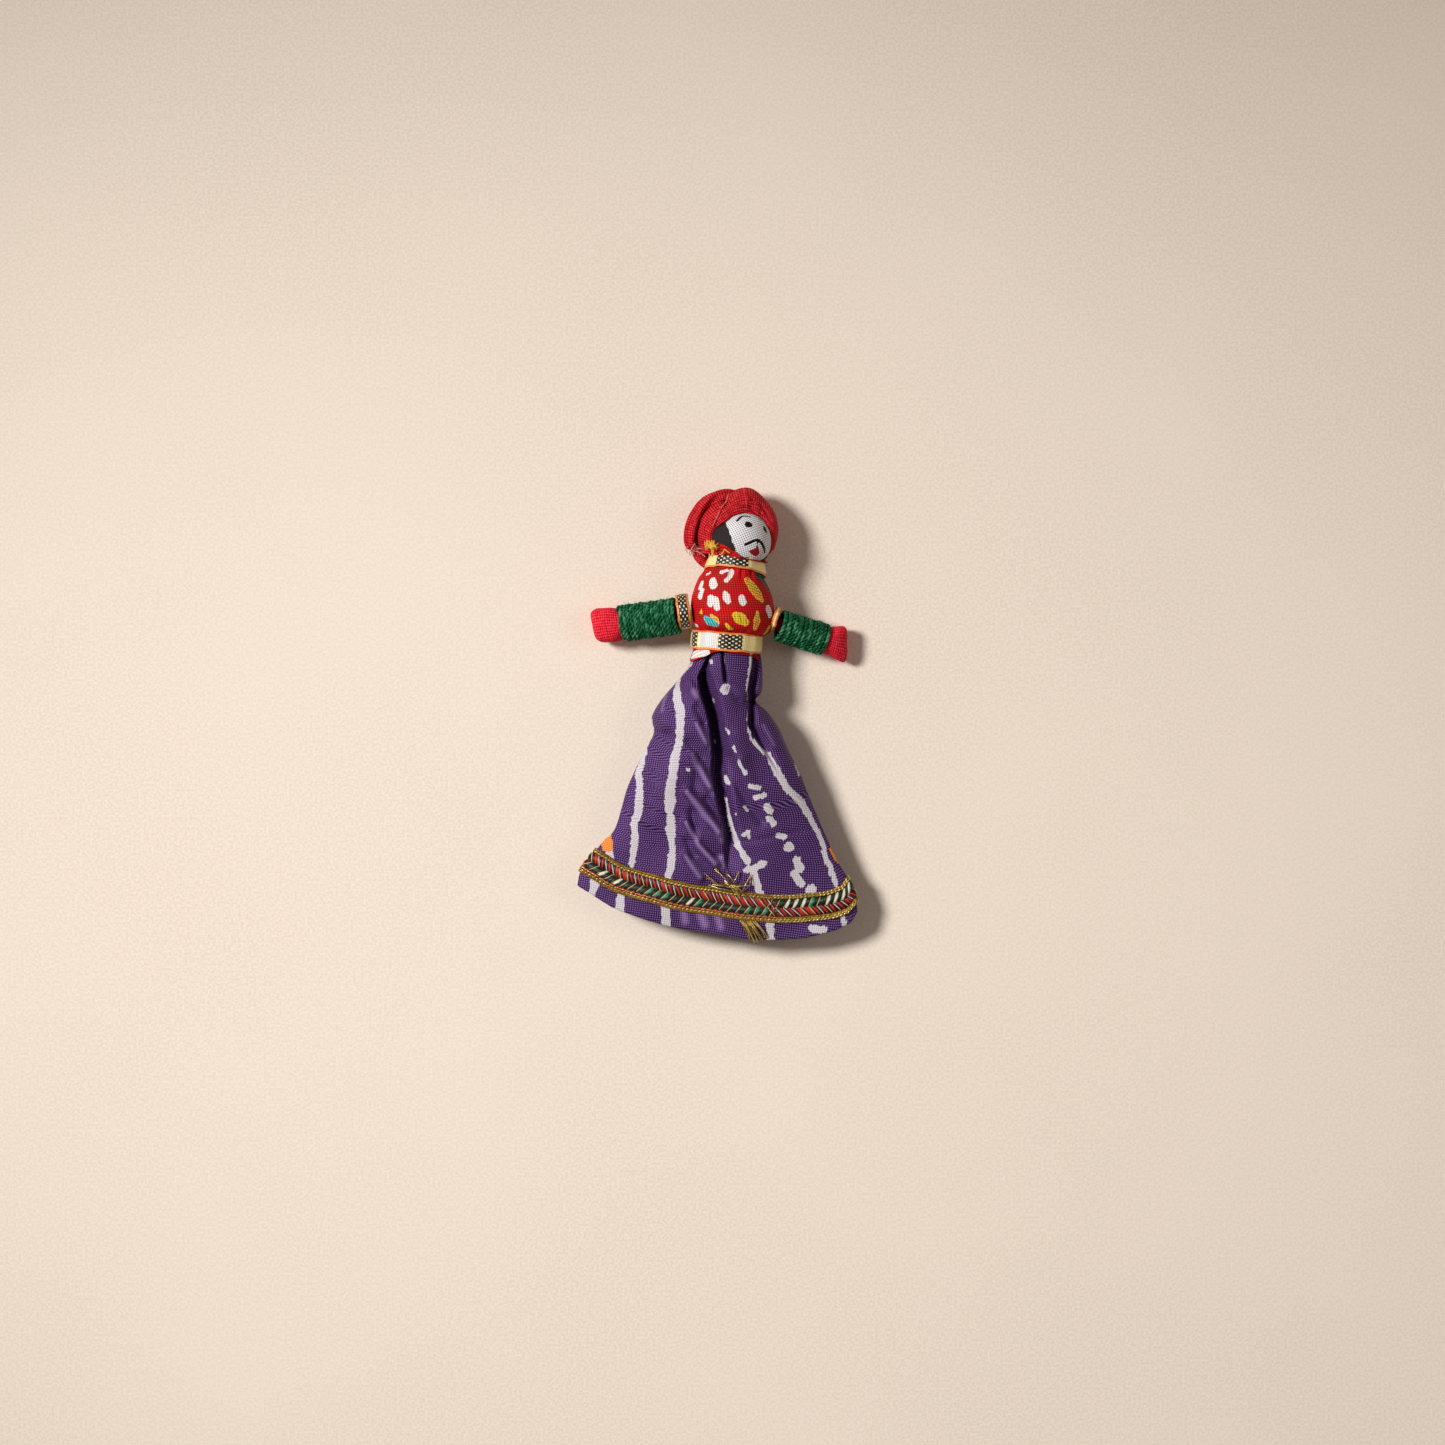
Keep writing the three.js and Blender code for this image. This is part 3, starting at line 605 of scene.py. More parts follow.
WHITE_STRIPES = [
    ([(-30.3, -38), (-30.2, -42)], [1.0, 1.2]),
    ([(-34.2, -46.6), (-34.5, -48), (-35.8, -51.4)], [1.2, 1.3, 0.8]),
    ([(-18.5, -2), (-19, -5.6), (-19.9, -9), (-21, -12.9), (-22.1, -16.2)], [0.4, 0.7, 0.8, 1.1, 1.2]),
    (
        [(-22.1, -16.2), (-21.8, -20.4), (-21.8, -24.6), (-22.1, -27.7), (-23.5, -30.8)],
        [1.2, 1.0, 1.2, 1.25, 1.0],
    ),
    (
        [(-23.5, -30.8), (-23.1, -34.5), (-23.3, -38), (-24.1, -43.5), (-25.2, -47)],
        [0.7, 1.15, 1.0, 0.7, 1.1],
    ),
    ([(-26.7, -50), (-27.6, -55.4)], [1.1, 1.3]),
    ([(-7.4, 13.6), (-10.3, 10.2), (-11.4, 7.4)], [0.6, 0.9, 0.9]),
    (
        [(-11.4, 7.4), (-11.4, 4.2), (-10.6, 0), (-10.4, -3.4), (-10.9, -8.4), (-11.8, -11.8)],
        [0.9, 1.3, 1.3, 1.15, 1.1, 1.25],
    ),
    (
        [(-11.8, -11.8), (-12.6, -16.8), (-13.2, -21.6), (-13.5, -24.5), (-13.4, -27)],
        [1.3, 1.2, 1.4, 1.6, 1.3],
    ),
    (
        [(-13.2, -29), (-13.3, -32.5), (-12.8, -37), (-12.9, -41.2), (-14, -47)],
        [1.15, 1.4, 0.8, 1.15, 0.9],
    ),
    ([(-14.7, -52.5), (-14.8, -60)], [1.2, 1.3]),
    ([(2.3, -24), (3.8, -31.6), (5.3, -36.4), (8.2, -41.4)], [0.5, 0.9, 1.05, 0.9]),
    ([(8, -43.6), (10, -43.2), (12.9, -42)], [0.9, 0.9, 0.95]), ([(9.8, -44), (11.7, -50)], [1.0, 1.0]),
    ([(7, -34), (8.4, -32.9), (8.7, -34.6)], [0.6, 0.55, 0.4]),
    ([(14.4, -57), (14.8, -63.4)], [1.1, 1.1]),
    ([(9.2, 17.5), (9.3, 14), (8.6, 10.4), (7.9, 6.7), (8.2, 3.6)], [0.55, 0.6, 0.5, 0.45, 0.25]),
    ([(8.2, 1), (8.3, -3.9), (9.3, -7.3)], [0.2, 0.3, 0.4]),
    ([(9.3, -7.3), (14, -12), (16.8, -16.8), (19.3, -21)], [0.4, 0.95, 1.1, 1.0]),
    ([(19.3, -21), (23.2, -24.9), (26, -29.7), (27.7, -33), (29.1, -36.4)], [1.0, 1.15, 0.9, 0.7, 0.75]),
    ([(29.1, -36.4), (30.2, -40.9), (31.6, -43.7), (32.9, -48.2)], [0.75, 0.7, 0.8, 0.7]),
    ([(30.8, -43.6), (31, -45.4)], [0.35, 0.2]), ([(34.2, -54), (35.2, -59)], [0.6, 0.8]),
]
WHITE_DOTS = [
    ([(-8.4, -15.7)], 0.55), ([(2, 6.4)], 1.55), ([(-2.3, 14.9), (-1.9, 14)], 0.5),
    ([(1.7, 15.6), (1.9, 12.2)], [0.25, 0.45]), ([(2.4, -4.6), (2.9, -5.4)], 0.4),
    ([(4.3, -9.6), (4.8, -10.6)], 0.45), ([(5.7, -12.8), (6.6, -15.2), (7.6, -16.9)], [0.25, 0.55, 0.5]),
    ([(8.9, -20.5), (11.2, -20.8)], 0.75), ([(10.3, -23.3), (12.7, -23.1)], 0.75),
    ([(13.6, -26), (14.5, -27.3)], 1.0), ([(14.1, -29.5), (15.2, -30.6)], 0.95),
    ([(16.7, -34.1), (18.2, -34.3)], 0.85), ([(19.6, -37.2)], 1.45),
    ([(21.9, -40.8), (22.9, -43.6)], 1.15), ([(21.3, -44.9), (23, -47.4)], 1.1), ([(26.1, -49.3)], 1.55),
    ([(26.4, -60.2), (29.4, -60.1)], 1.15), ([(2, -18), (2.6, -19.3)], 0.95),
    ([(7.2, -26.3), (8, -27)], 0.5), ([(5, -28)], 0.42), ([(-1.2, 3.6)], 0.8), ([(-1, -7.6)], 0.6),
    ([(21.4, -14.6), (22.4, -17)], 0.45),
]
ORANGE_MOTIFS = [
    ([(-31.2, -34.6), (-30.6, -37)], 1.7), ([(31.6, -38), (33.2, -41)], 0.9), ([(11, 3.7)], 0.9),
]


def edge_angle(points):
    """The angle from the fan's centre line at each distance from the apex, along an edge of the skirt."""
    line = curve(points, 300) - APEX
    radius = np.hypot(line[:, 0], line[:, 1])
    order = np.argsort(radius)
    return radius[order], np.arctan2(line[:, 0], -line[:, 1])[order]


def pleat(x, y, stations, lip):
    """The drop of the cloth to the right of a pleat's lip."""
    station = np.array(stations)[::-1]
    centre, drop, run = (np.interp(y, station[:, 1], station[:, k]) for k in (0, 2, 3))
    q = x - centre
    inside = (y < station[-1, 1] + 2) * (y > station[0, 1] - 1)
    return -drop * ease(q, -lip, 0.25) * (1 - ease(q, 0.3, run)) * inside


def fold_height(x, y):
    """How far the pleats, ripples and creases lift or drop the cloth."""
    flat = np.stack([x.ravel(), y.ravel()], axis=1)
    total = pleat(x, y, GROOVE, 0.5) + pleat(x, y, SLOT, 0.3) + pleat(x, y, RIGHT_PLEAT, 0.5)
    for line, height, width in FOLDS:
        distance = stroke_distance(flat, [(line, 0.0)]).reshape(x.shape)
        total = total + height * np.exp(-((distance / width) ** 2))
    return total


def skirt_plan(share, x):
    """Radius and plan place on the skirt: share runs from waist to hem, x from -1 at the left edge to 1."""
    hem = np.array(HEM_EDGE) - APEX
    hem_angle = np.arctan2(hem[:, 0], -hem[:, 1])
    hem_radius = np.hypot(hem[:, 0], hem[:, 1])
    side = (x + 1) / 2
    far = np.interp(hem_angle[0] + (hem_angle[-1] - hem_angle[0]) * side, hem_angle, hem_radius)
    radius = SKIRT_TOP + (far - SKIRT_TOP) * share
    left = np.interp(radius, *edge_angle(LEFT_EDGE))
    right = np.interp(radius, *edge_angle(RIGHT_EDGE))
    angle = left + (right - left) * side
    return radius, APEX[0] + radius * np.sin(angle), APEX[1] - radius * np.cos(angle)


def skirt_surface():
    """Points of the skirt's outside, and which of its columns are at the front."""
    turn_front = np.linspace(-1, 1, SKIRT_FRONT_COLUMNS)
    turn_back = np.linspace(1, -1, SKIRT_BACK_COLUMNS + 2)[1:-1]
    x_share = np.sin(np.concatenate([turn_front, turn_back]) * math.pi / 2)
    is_front = np.arange(SKIRT_FRONT_COLUMNS + SKIRT_BACK_COLUMNS) < SKIRT_FRONT_COLUMNS
    share, across = np.meshgrid(np.linspace(0, 1, SKIRT_ROWS), x_share, indexing="ij")
    radius, x, y = skirt_plan(share, across)
    front = np.interp(radius, *FRONT_HEIGHT)
    middle = np.interp(radius, *SIDE_HEIGHT)
    back = np.interp(radius, *BACK_HEIGHT)
    dome = np.sqrt(np.maximum(1 - np.abs(across) ** np.interp(radius, *FRONT_POWER), 0))
    floor = np.sqrt(np.maximum(1 - np.abs(across) ** np.interp(radius, *BACK_POWER), 0))
    folds = fold_height(x, y) * (1 - np.abs(across) ** 9) * (1 - ease(radius, *FOLDS_END))
    sway = 0.25 * np.sin(across * 9 + radius * 0.13) * ease(radius, 24, 45)
    over = middle + (front - middle) * dome + folds + sway * dome
    z = np.where(is_front, over, middle - (middle - back) * floor)
    return np.stack([x, y, z], axis=-1), is_front


def turned_hem(grid):
    """Rows that fold the hem inside: down round the edge and up inside the cloth."""
    normal = raised(grid_normals(grid), -1, grid.shape[1] // 3)
    outward = unit(grid[-1] - grid[-3])
    rows = [grid[-1] + outward * HEM_ROUND - normal[-1] * HEM_ROUND]
    for step in (1, 2, 4, 6):
        rows.append(grid[-1 - step] - normal[-1 - step] * CLOTH_GAP)
    return np.concatenate([grid, np.array(rows)], axis=0)


def fan_map(grid, centre_column):
    """The cloth map of a fan of cloth laid out flat."""
    down = SKIRT_TOP + column_lengths(grid)[:, :centre_column * 2].mean(axis=1)[:, None]
    across = row_lengths(grid)
    turn = (across - across[:, centre_column][:, None]) / down
    return np.stack([down * np.sin(turn), -down * np.cos(turn)], axis=-1)


def back_stripes():
    """Stripes and dots on the back, in the same hand as the front's."""
    rng = np.random.default_rng(5)
    stripes = []
    dots = []
    for place in (-0.72, -0.4, -0.05, 0.3, 0.66):
        share = np.linspace(0.02, 1.0, 16)
        _, x, y = skirt_plan(share, np.clip(place + rng.normal(0, 0.012, 16), -1, 1))
        stripes.append((np.stack([x, y], axis=1), 0.9 + rng.normal(0, 0.22, 16)))
    for share in np.linspace(0.2, 0.95, 14):
        _, x, y = skirt_plan(np.array([share]), np.array([0.12 + 0.04 * math.sin(share * 40)]))
        dots.append((np.stack([x, y], axis=1), 0.6 + 0.5 * share))
    return stripes, dots


def make_skirt():
    surface, is_front = skirt_surface()
    grid = turned_hem(surface)
    flat = grid.reshape(-1, 3)
    front = surface[:, is_front].reshape(-1, 3)
    back = surface[:, ~is_front].reshape(-1, 3)
    stripes, dots = back_stripes()
    white = lifted(WHITE_STRIPES + WHITE_DOTS, front) + lifted(stripes + dots, back)
    values = {
        "white": stroke_distance(flat, white),
        "orange": stroke_distance(flat, lifted(ORANGE_MOTIFS, front)),
        # Distance to the painted highlight streaks along the creases
        "painted_highlight": stroke_distance(flat, lifted(PAINTED_CREASE_HIGHLIGHTS, front)),
    }
    uv = fan_map(grid, int(is_front.sum() // 2))
    skirt = cloth_grid("skirt_cloth", grid, PURPLE, uv, values=values, flip=True)
    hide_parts("skirt", "skirt_gathers")
    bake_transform(skirt)
    return skirt, surface, is_front


# Hem lace
MIDDLE_ROW = 6
LACE_TOP = 13.2
LACE_WIDTH = 8.0
# How far the lace runs below its usual line: (x, mm)
LACE_SAG = [(-40, 1.4), (-32, 1.2), (-20, 0.2), (10, 0), (26, 1.0), (34, 2.2), (39, 2.8)]
LACE_SWAP_X = 15.5
STITCH = 2.3
STITCH_LEAN = 1.7
# The two rows of stitches: (top, bottom) in mm below the top of the lace
LACE_ROWS = ((1.5, 3.9), (3.9, 6.2))
# Gold cords to the left and right of the join: (mm below the top of the lace, tones of the two plies)
LEFT_CORDS = ((0.4, (0, 0)), (1.05, (0, 1)), (7.3, (0, 1)), (7.8, (0, 0)))
RIGHT_CORDS = ((0.35, (1, 0)), (0.95, (1, 0)), (6.7, (0, 0)), (7.2, (0, 1)), (7.75, (1, 0)))
CORD = {"radius": 0.2, "pitch": 1.1}
SILK_CORD_DOWN = 6.6


class LaceBand:
    """The band that the lace covers. place(a, d, h) is a mm round it, d mm down from its top, h mm proud."""

    def __init__(self, surface):
        from_hem = column_lengths(surface[::-1])[::-1]
        self.downs = np.linspace(0, LACE_WIDTH, 2 * MIDDLE_ROW + 1)
        sag = np.interp(surface[-1, :, 0], *np.array(LACE_SAG).T)
        rows = []
        for down in self.downs:
            wanted = LACE_TOP - down - sag
            row = [
                [np.interp(wanted[j], from_hem[::-1, j], surface[::-1, j, k]) for k in range(3)]
                for j in range(surface.shape[1])
            ]
            rows.append(row)
        band = np.array(rows)
        normal = raised(grid_normals(band), MIDDLE_ROW, band.shape[1] // 3)
        self.band = np.concatenate([band, band[:, :1]], axis=1)
        self.normal = np.concatenate([normal, normal[:, :1]], axis=1)
        self.along = row_lengths(band)[MIDDLE_ROW]
        self.length = self.along[-1]

    def sample(self, table, a, d):
        a, d = np.broadcast_arrays(np.asarray(a, float) % self.length, np.asarray(d, float))
        column = np.interp(a, self.along, np.arange(len(self.along)))
        row = np.interp(d, self.downs, np.arange(len(self.downs)))
        c = np.minimum(column.astype(int), len(self.along) - 2)
        r = np.minimum(row.astype(int), len(self.downs) - 2)
        u = (column - c)[..., None]
        v = (row - r)[..., None]
        top = table[r, c] * (1 - u) + table[r, c + 1] * u
        low = table[r + 1, c] * (1 - u) + table[r + 1, c + 1] * u
        return top * (1 - v) + low * v

    def up(self, a, d):
        return unit(self.sample(self.normal, a, d))

    def place(self, a, d, h):
        return self.sample(self.band, a, d) + self.up(a, d) * np.asarray(h, float)[..., None]


def add_cord(strands, band, span, down, radius, pitch, tones, lift=0.35):
    """A two-ply cord along the band."""
    count = int((span[1] - span[0]) / pitch * 8)
    a = np.linspace(*span, count)
    d = np.broadcast_to(down, a.shape)
    for ply in (0, 1):
        turn = a / pitch * 2 * math.pi + ply * math.pi
        wound = np.clip(d + radius * np.cos(turn), 0, LACE_WIDTH)
        path = band.place(a, wound, lift + radius * 0.8 * np.sin(turn))
        strands.add(path, radius, tones[ply], band.up(a, d))


def add_stitch(strands, band, start, end, radius, tone, lift):
    """One stitch across the band, standing a little higher at its middle."""
    t = np.linspace(0, 1, 5)
    a = start[0] + (end[0] - start[0]) * t
    d = start[1] + (end[1] - start[1]) * t
    path = band.place(a, d, lift + 0.18 * np.sin(t * math.pi))
    strands.add(path, radius * (0.55 + 0.45 * np.sin(t * math.pi)), tone, band.up(a, d), 6)


def lace_stitches(silk, band, span, red_on_top):
    """Two rows of slanted stitches that point along the band: red ones, and green ones with sequins."""
    rng = np.random.default_rng(8)
    lean = STITCH_LEAN if red_on_top else -STITCH_LEAN
    upper, lower = LACE_ROWS
    red, green = (upper, lower) if red_on_top else (lower, upper)
    sequin_tones = [4, 4, 4, 5, 6]
    shares = [0.3, 0.3, 0.1, 0.2, 0.1] if red_on_top else [0.15, 0.15, 0.1, 0.2, 0.4]
    for a in np.arange(span[0], span[1], STITCH):
        ends = {upper: (a, a + lean), lower: (a + lean, a)}
        sequin = rng.choice(sequin_tones, p=shares)
        # Each stitch: shift along the band, half width, tone, row, height
        for shift, width, tone, row, height in (
            (0.5, 0.5, 3, red, 0.16), (1.15, 0.36, 2, red, 0.3), (1.75, 0.3, rng.choice([2, 3]), red, 0.26),
            (0.55, 0.52, sequin, green, 0.2), (1.2, 0.5, 4, green, 0.22), (1.75, 0.42, 4, green, 0.2),
            (0.0, 0.15, rng.choice([6, 1]), red, 0.5), (0.0, 0.11, 1, green, 0.45),
        ):
            first, last = ends[row]
            wobble = rng.normal(0, 0.1)
            begin = (first + shift + wobble, row[0])
            end = (last + shift - wobble, row[1])
            add_stitch(silk, band, begin, end, width, tone, height)


def lace_backing(band):
    a = np.linspace(0, band.length, 240, endpoint=False)
    d = np.linspace(0.2, LACE_WIDTH - 0.2, 9)
    grid = np.stack([band.place(a, np.full_like(a, x), np.full_like(a, 0.12)) for x in d])
    uv = pair_map(np.linspace(0, band.length, len(a) + 1), d)
    maroon = fabric("lace_backing", rgb(52, 14, 14), varied=0.3, pitch=0.45)
    return cloth_grid("lace_backing", grid, maroon, uv, flip=True)


def make_lace(surface, is_front):
    """The braid round the hem. Its pattern turns over where its two ends meet."""
    band = LaceBand(surface)
    front = int(is_front.sum())
    swap = band.along[np.argmin(np.abs(band.band[MIDDLE_ROW, :front, 0] - LACE_SWAP_X))]
    gold = Strands()
    silk = Strands()
    left, right = (0, swap), (swap, band.length)
    for down, tones in LEFT_CORDS:
        add_cord(gold, band, left, down, tones=tones, **CORD)
    add_cord(silk, band, left, SILK_CORD_DOWN, radius=0.3, pitch=1.5, tones=(2, 3))
    add_cord(gold, band, left, SILK_CORD_DOWN, radius=0.1, pitch=2.3, tones=(1, 1), lift=0.7)
    for down, tones in RIGHT_CORDS:
        add_cord(gold, band, right, down, tones=tones, **CORD)
    lace_stitches(silk, band, left, True)
    lace_stitches(silk, band, (swap, band.length - 1), False)
    pieces = [gold.build("hem_lace_gold", ZARI), silk.build("hem_lace_silk", SILK), lace_backing(band)]
    for piece in pieces:
        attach(piece, "skirt")
    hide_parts("hem_lace")
    return pieces


# Stray threads above the join: (start, end, height of the bow)
UPPER_THREADS = [
    ((5.5, -49), (-3.6, -45.6), 1.6), ((6, -49), (-1.4, -47.3), 1.0), ((4.5, -49.4), (-0.6, -43.4), 1.4),
    ((5, -49), (2.2, -43.6), 1.0), ((4, -48.6), (5.4, -44.4), 0.8), ((3.6, -48.4), (8.8, -47.2), 1.2),
    ((2, -47.4), (8.2, -50.6), 1.2), ((1.8, -46.6), (6.4, -51.4), 0.8), ((7, -49.6), (9.2, -45.2), 0.8),
    ((-2.6, -47.9), (3.4, -49.6), 0.8),
]


def upper_end_threads(rng):
    threads = Strands()
    for start, end, rise in UPPER_THREADS:
        for _ in range(2):
            a, b = np.array([*start, 12.6]), np.array([*end, 13.2])
            bow = (a + b) / 2 + np.array([rng.normal(0, 0.5), rng.normal(0, 0.4), rise])
            path = curve([a, bow, b + rng.normal(0, 0.35, 3) * [1, 1, 0]], 12)
            threads.add(path, 0.12, rng.integers(0, 2))
    return threads


def lower_end_threads(rng, count=16):
    """A fringe that hangs from the join over the hem."""
    threads = Strands()
    for i in range(count):
        share = i / (count - 1)
        base = np.array([5.4 + 4.8 * share, -57.0 - 1.0 * share + rng.normal(0, 0.2), 11.6])
        tip = np.array([8.6 + 5.2 * share, -63.2 + rng.normal(0, 0.7), 10.8 + rng.uniform(0, 0.9)])
        bow = (base + tip) / 2 + np.array([rng.normal(0.2, 0.35), 0, 0.6])
        threads.add(curve([base, bow, tip], 10), 0.14, i % 2)
    return threads


def make_lace_ends():
    rng = np.random.default_rng(3)
    for make_threads, name in ((upper_end_threads, "lace_end_upper"), (lower_end_threads, "lace_end_lower")):
        piece = make_threads(rng).build(name + "_threads", ZARI)
        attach(piece, "skirt")
        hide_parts(name)


# Rings round the spine
def spine_ring(along, half_width, half_depth, aside, angle):
    """A ring round the trunk, from its right round to its front. Each value may differ round it."""
    across = aside + half_width * np.cos(angle)
    out = half_depth * np.sin(angle)
    along = np.broadcast_to(along, angle.shape)
    return WAIST + along[:, None] * SPINE + across[:, None] * LATERAL + out[:, None] * UP


def around(count):
    return np.arange(count) / count * 2 * math.pi


# Bodice: (distance up the spine, half width, half depth, sideways offset)
BODICE = [
    (-2.5, 9.1, 6.4, 0.3), (-0.5, 8.8, 6.0, 0.2), (2.6, 9.0, 6.2, 0.3), (3.4, 10.0, 7.8, 0.7),
    (4.3, 10.9, 8.8, 0.85), (6.5, 11.6, 9.6, 0.95), (9, 11.8, 10.1, 0.65), (11.5, 11.5, 10.2, 0.27),
    (14, 10.9, 9.9, 0.05), (16.5, 9.95, 9.4, -0.1), (18.2, 8.7, 8.9, -0.3), (19.4, 7.9, 8.5, -0.3),
    (20.4, 7.4, 8.3, -0.2), (22.6, 7.1, 8.2, -0.1), (23.4, 7.4, 8.6, -0.1),
]
TRUNK_STEP = 0.19
FRILL_START = 22.9
BACK_SHIFT = (9.4, 1.2)
# Round the waist and the neck, by the angle in degrees: where the peplum and the frill end, up the spine,
# and how far the peplum flares
PEPLUM_HEM = [
    (-180, -6.2), (-160, -4.2), (-90, -3.6), (-20, -3.8), (0, -4.4), (20, -4.2), (45, -3.0), (100, -2.8),
    (112, -3.6), (130, -5.4), (150, -6.5), (165, -6.8), (180, -6.2),
]
PEPLUM_FLARE = [(-180, 0.6), (-90, 0.5), (0, 0.8), (60, 0.9), (100, 0.9), (125, 1.2), (180, 0.6)]
FRILL_TOP = [
    (-180, 26.4), (-90, 25.2), (0, 23.4), (84, 23.6), (94, 25.0), (112, 26.2), (130, 27.0), (155, 27.2),
    (180, 26.4),
]
# Marks of the bodice's print: line, half widths
BODICE_WHITE = [
    ([(-4.6, 36), (-4.9, 34.9)], 0.85), ([(-4.4, 33.9), (-4.9, 32.4)], 0.9),
    ([(-1.5, 36.6), (-1.3, 35.3)], 1.15), ([(0.9, 39.1), (2.3, 39.6), (3.7, 39.4)], 0.5),
    ([(3.7, 39.2), (3.4, 38), (2.3, 36.6)], [0.8, 0.7, 0.5]),
    ([(1.9, 33), (2.3, 32.2), (2.6, 31)], [0.75, 1.05, 0.8]), ([(-2.1, 31.8), (-2.0, 30.3)], 1.0),
    ([(-0.7, 31.2), (-0.3, 29.3)], 0.95), ([(6.6, 31.8), (6.9, 30.7)], 0.95),
    ([(14.1, 28.8), (14.5, 27.5)], 1.25), ([(-6.9, 24.6), (-5.9, 24.2)], 0.6),
    ([(-3.1, 38.4), (-2.2, 38.9)], 0.4), ([(-6.9, 15.8), (-3.4, 16.6)], 1.15),
    ([(11, 17.4), (11.6, 15.4)], 0.3),
]
BODICE_YELLOW = [
    ([(8.2, 36.8), (9.6, 34.9), (11.2, 32.8), (12.2, 31.4)], [0.9, 1.4, 1.4, 0.7]),
    ([(-1.9, 27), (-0.6, 25.9), (0.1, 25)], [0.5, 0.7, 0.4]), ([(-4.6, 28.8), (-4.6, 28)], [0.2, 0.55]),
    ([(11, 28), (10.7, 25.6), (10.4, 23.4)], [0.35, 1.15, 0.6]),
]
BODICE_LIME = [
    ([(4.8, 27.1), (6.2, 26.1), (7.7, 25)], [1.0, 1.7, 1.0]),
    ([(12.8, 21.9), (14.2, 23.8)], [0.45, 0.75]), ([(2.3, 24.6), (3.6, 23.2)], [0.5, 0.7]),
]
BODICE_TEAL = [
    ([(10.8, 38.5), (12.5, 36.8), (14.1, 34.6)], [0.7, 1.35, 0.8]), ([(-8.4, 15.6), (-7.8, 14.2)], 0.5),
]
BODICE_CYAN = [([(-3.5, 26.3), (-2.3, 25.4), (-0.7, 24.5)], [0.7, 1.35, 0.8])]


def ribs(points, distance, pitch, heading, inset=0.25):
    """Thin dark lines across a painted leaf."""
    across = points[:, 0] * math.cos(heading) + points[:, 1] * math.sin(heading)
    line = np.abs((across / pitch) % 1 - 0.5) * pitch - 0.09
    return np.maximum(line, distance + inset)


def bodice_grid(columns=330):
    """Rows from the peplum's hem, in under the waist ribbon, over the chest and up to the neck frill."""
    angle = around(columns)
    degrees = (np.degrees(angle) + 180) % 360 - 180
    hem = np.interp(degrees, *np.array(PEPLUM_HEM).T)
    top = np.interp(degrees, *np.array(FRILL_TOP).T)
    flare = np.interp(degrees, *np.array(PEPLUM_FLARE).T)
    stations = np.array(BODICE)
    start, low_width, low_depth, low_aside = stations[0]
    rows = []
    for t in np.linspace(0, 1, 8):
        along = hem + (start - 0.1 - hem) * t
        wider = (1 - t) * flare
        rows.append(spine_ring(along, low_width + wider, low_depth + wider, low_aside, angle))
    for along in np.arange(start, FRILL_START, TRUNK_STEP):
        wide, deep, aside = (np.interp(along, stations[:, 0], stations[:, k]) for k in (1, 2, 3))
        near_tie = math.exp(-(((along - 2.9) / 1.6) ** 2)) + math.exp(-(((along - 19.4) / 2.2) ** 2))
        gather = 0.16 * near_tie * (np.sin(19 * angle + 0.6 * along) + 0.6 * np.sin(31 * angle + 1.7))
        lump = 0.14 * np.sin(3 * angle + along * 0.31) * np.sin(along * 0.4)
        rows.append(spine_ring(along, wide + gather + lump, deep + gather + lump, aside, angle))
    for t in np.linspace(0, 1, 12):
        along = FRILL_START + (top - FRILL_START) * t
        crimp = 0.25 * t * np.sin(13 * angle + 2 * t)
        rows.append(spine_ring(along, 7.4 + 1.2 * t + crimp, 8.6 + 1.5 * t + crimp, -0.1, angle))
    return smooth_rows(np.array(rows), 3)


def turned_strokes(strokes):
    """The front's strokes turned round for the back."""
    out = []
    for line, halves in strokes:
        out.append(([(BACK_SHIFT[0] - x, y + BACK_SHIFT[1]) for x, y in line], halves))
    return out


def make_bodice():
    grid = bodice_grid()
    flat = grid.reshape(-1, 3)
    front = flat[flat[:, 2] > WAIST[2] + 0.5]
    back = flat[flat[:, 2] < WAIST[2] - 0.5]
    inks = {
        "white": BODICE_WHITE, "yellow": BODICE_YELLOW, "lime": BODICE_LIME, "teal": BODICE_TEAL,
        "cyan": BODICE_CYAN,
    }
    values = {}
    for ink, strokes in inks.items():
        turned = turned_strokes(strokes)
        values[ink] = stroke_distance(flat, lifted(strokes, front) + lifted(turned, back))
    leaves = ribs(flat, np.minimum(values["yellow"], values["teal"]), 0.66, 1.15)
    leaves = np.minimum(leaves, ribs(flat, values["cyan"], 0.62, 0.5))
    values["rib"] = np.minimum(leaves, ribs(flat, values["lime"], 1.3, 0.3, 0.5))
    bodice = cloth_grid("bodice_cloth", grid, RED_PRINT, plain_map(grid), values=values)
    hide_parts("bodice")
    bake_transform(bodice)


# Ribbons
RIBBON_COLUMNS = 240
RIBBON_EDGE = 0.55
RIBBON_THICKNESS = 0.35
WAIST_TAPE_TILT = math.radians(2.8)
# Stretches of the tapes: (kind, from, to) in degrees. A white stretch is a painted highlight where the tape
# faces the light; a check stretch is the weave's check with painted dark and light reflections
WAIST_MARKS = [("check", 63, 104), ("check", 146, 168), ("white", 106, 139), ("check", 205, 262)]
NECK_MARKS = [("check", 66, 132), ("check", 215, 275)]
LEFT_MARKS = [("check", 12, 168)]
RIGHT_MARKS = [("check", 200, 300)]
NECK_TAPE_UP = 21.0


def mark_distance(marks, kind, degrees, radius):
    """The distance round the tape to the nearest stretch of this kind, below 0 inside one."""
    near = np.full(len(degrees), 20.0)
    for mark, low, high in marks:
        if mark == kind:
            span = np.maximum(low - degrees, degrees - high) * math.pi / 180 * radius
            near = np.minimum(near, span)
    return near


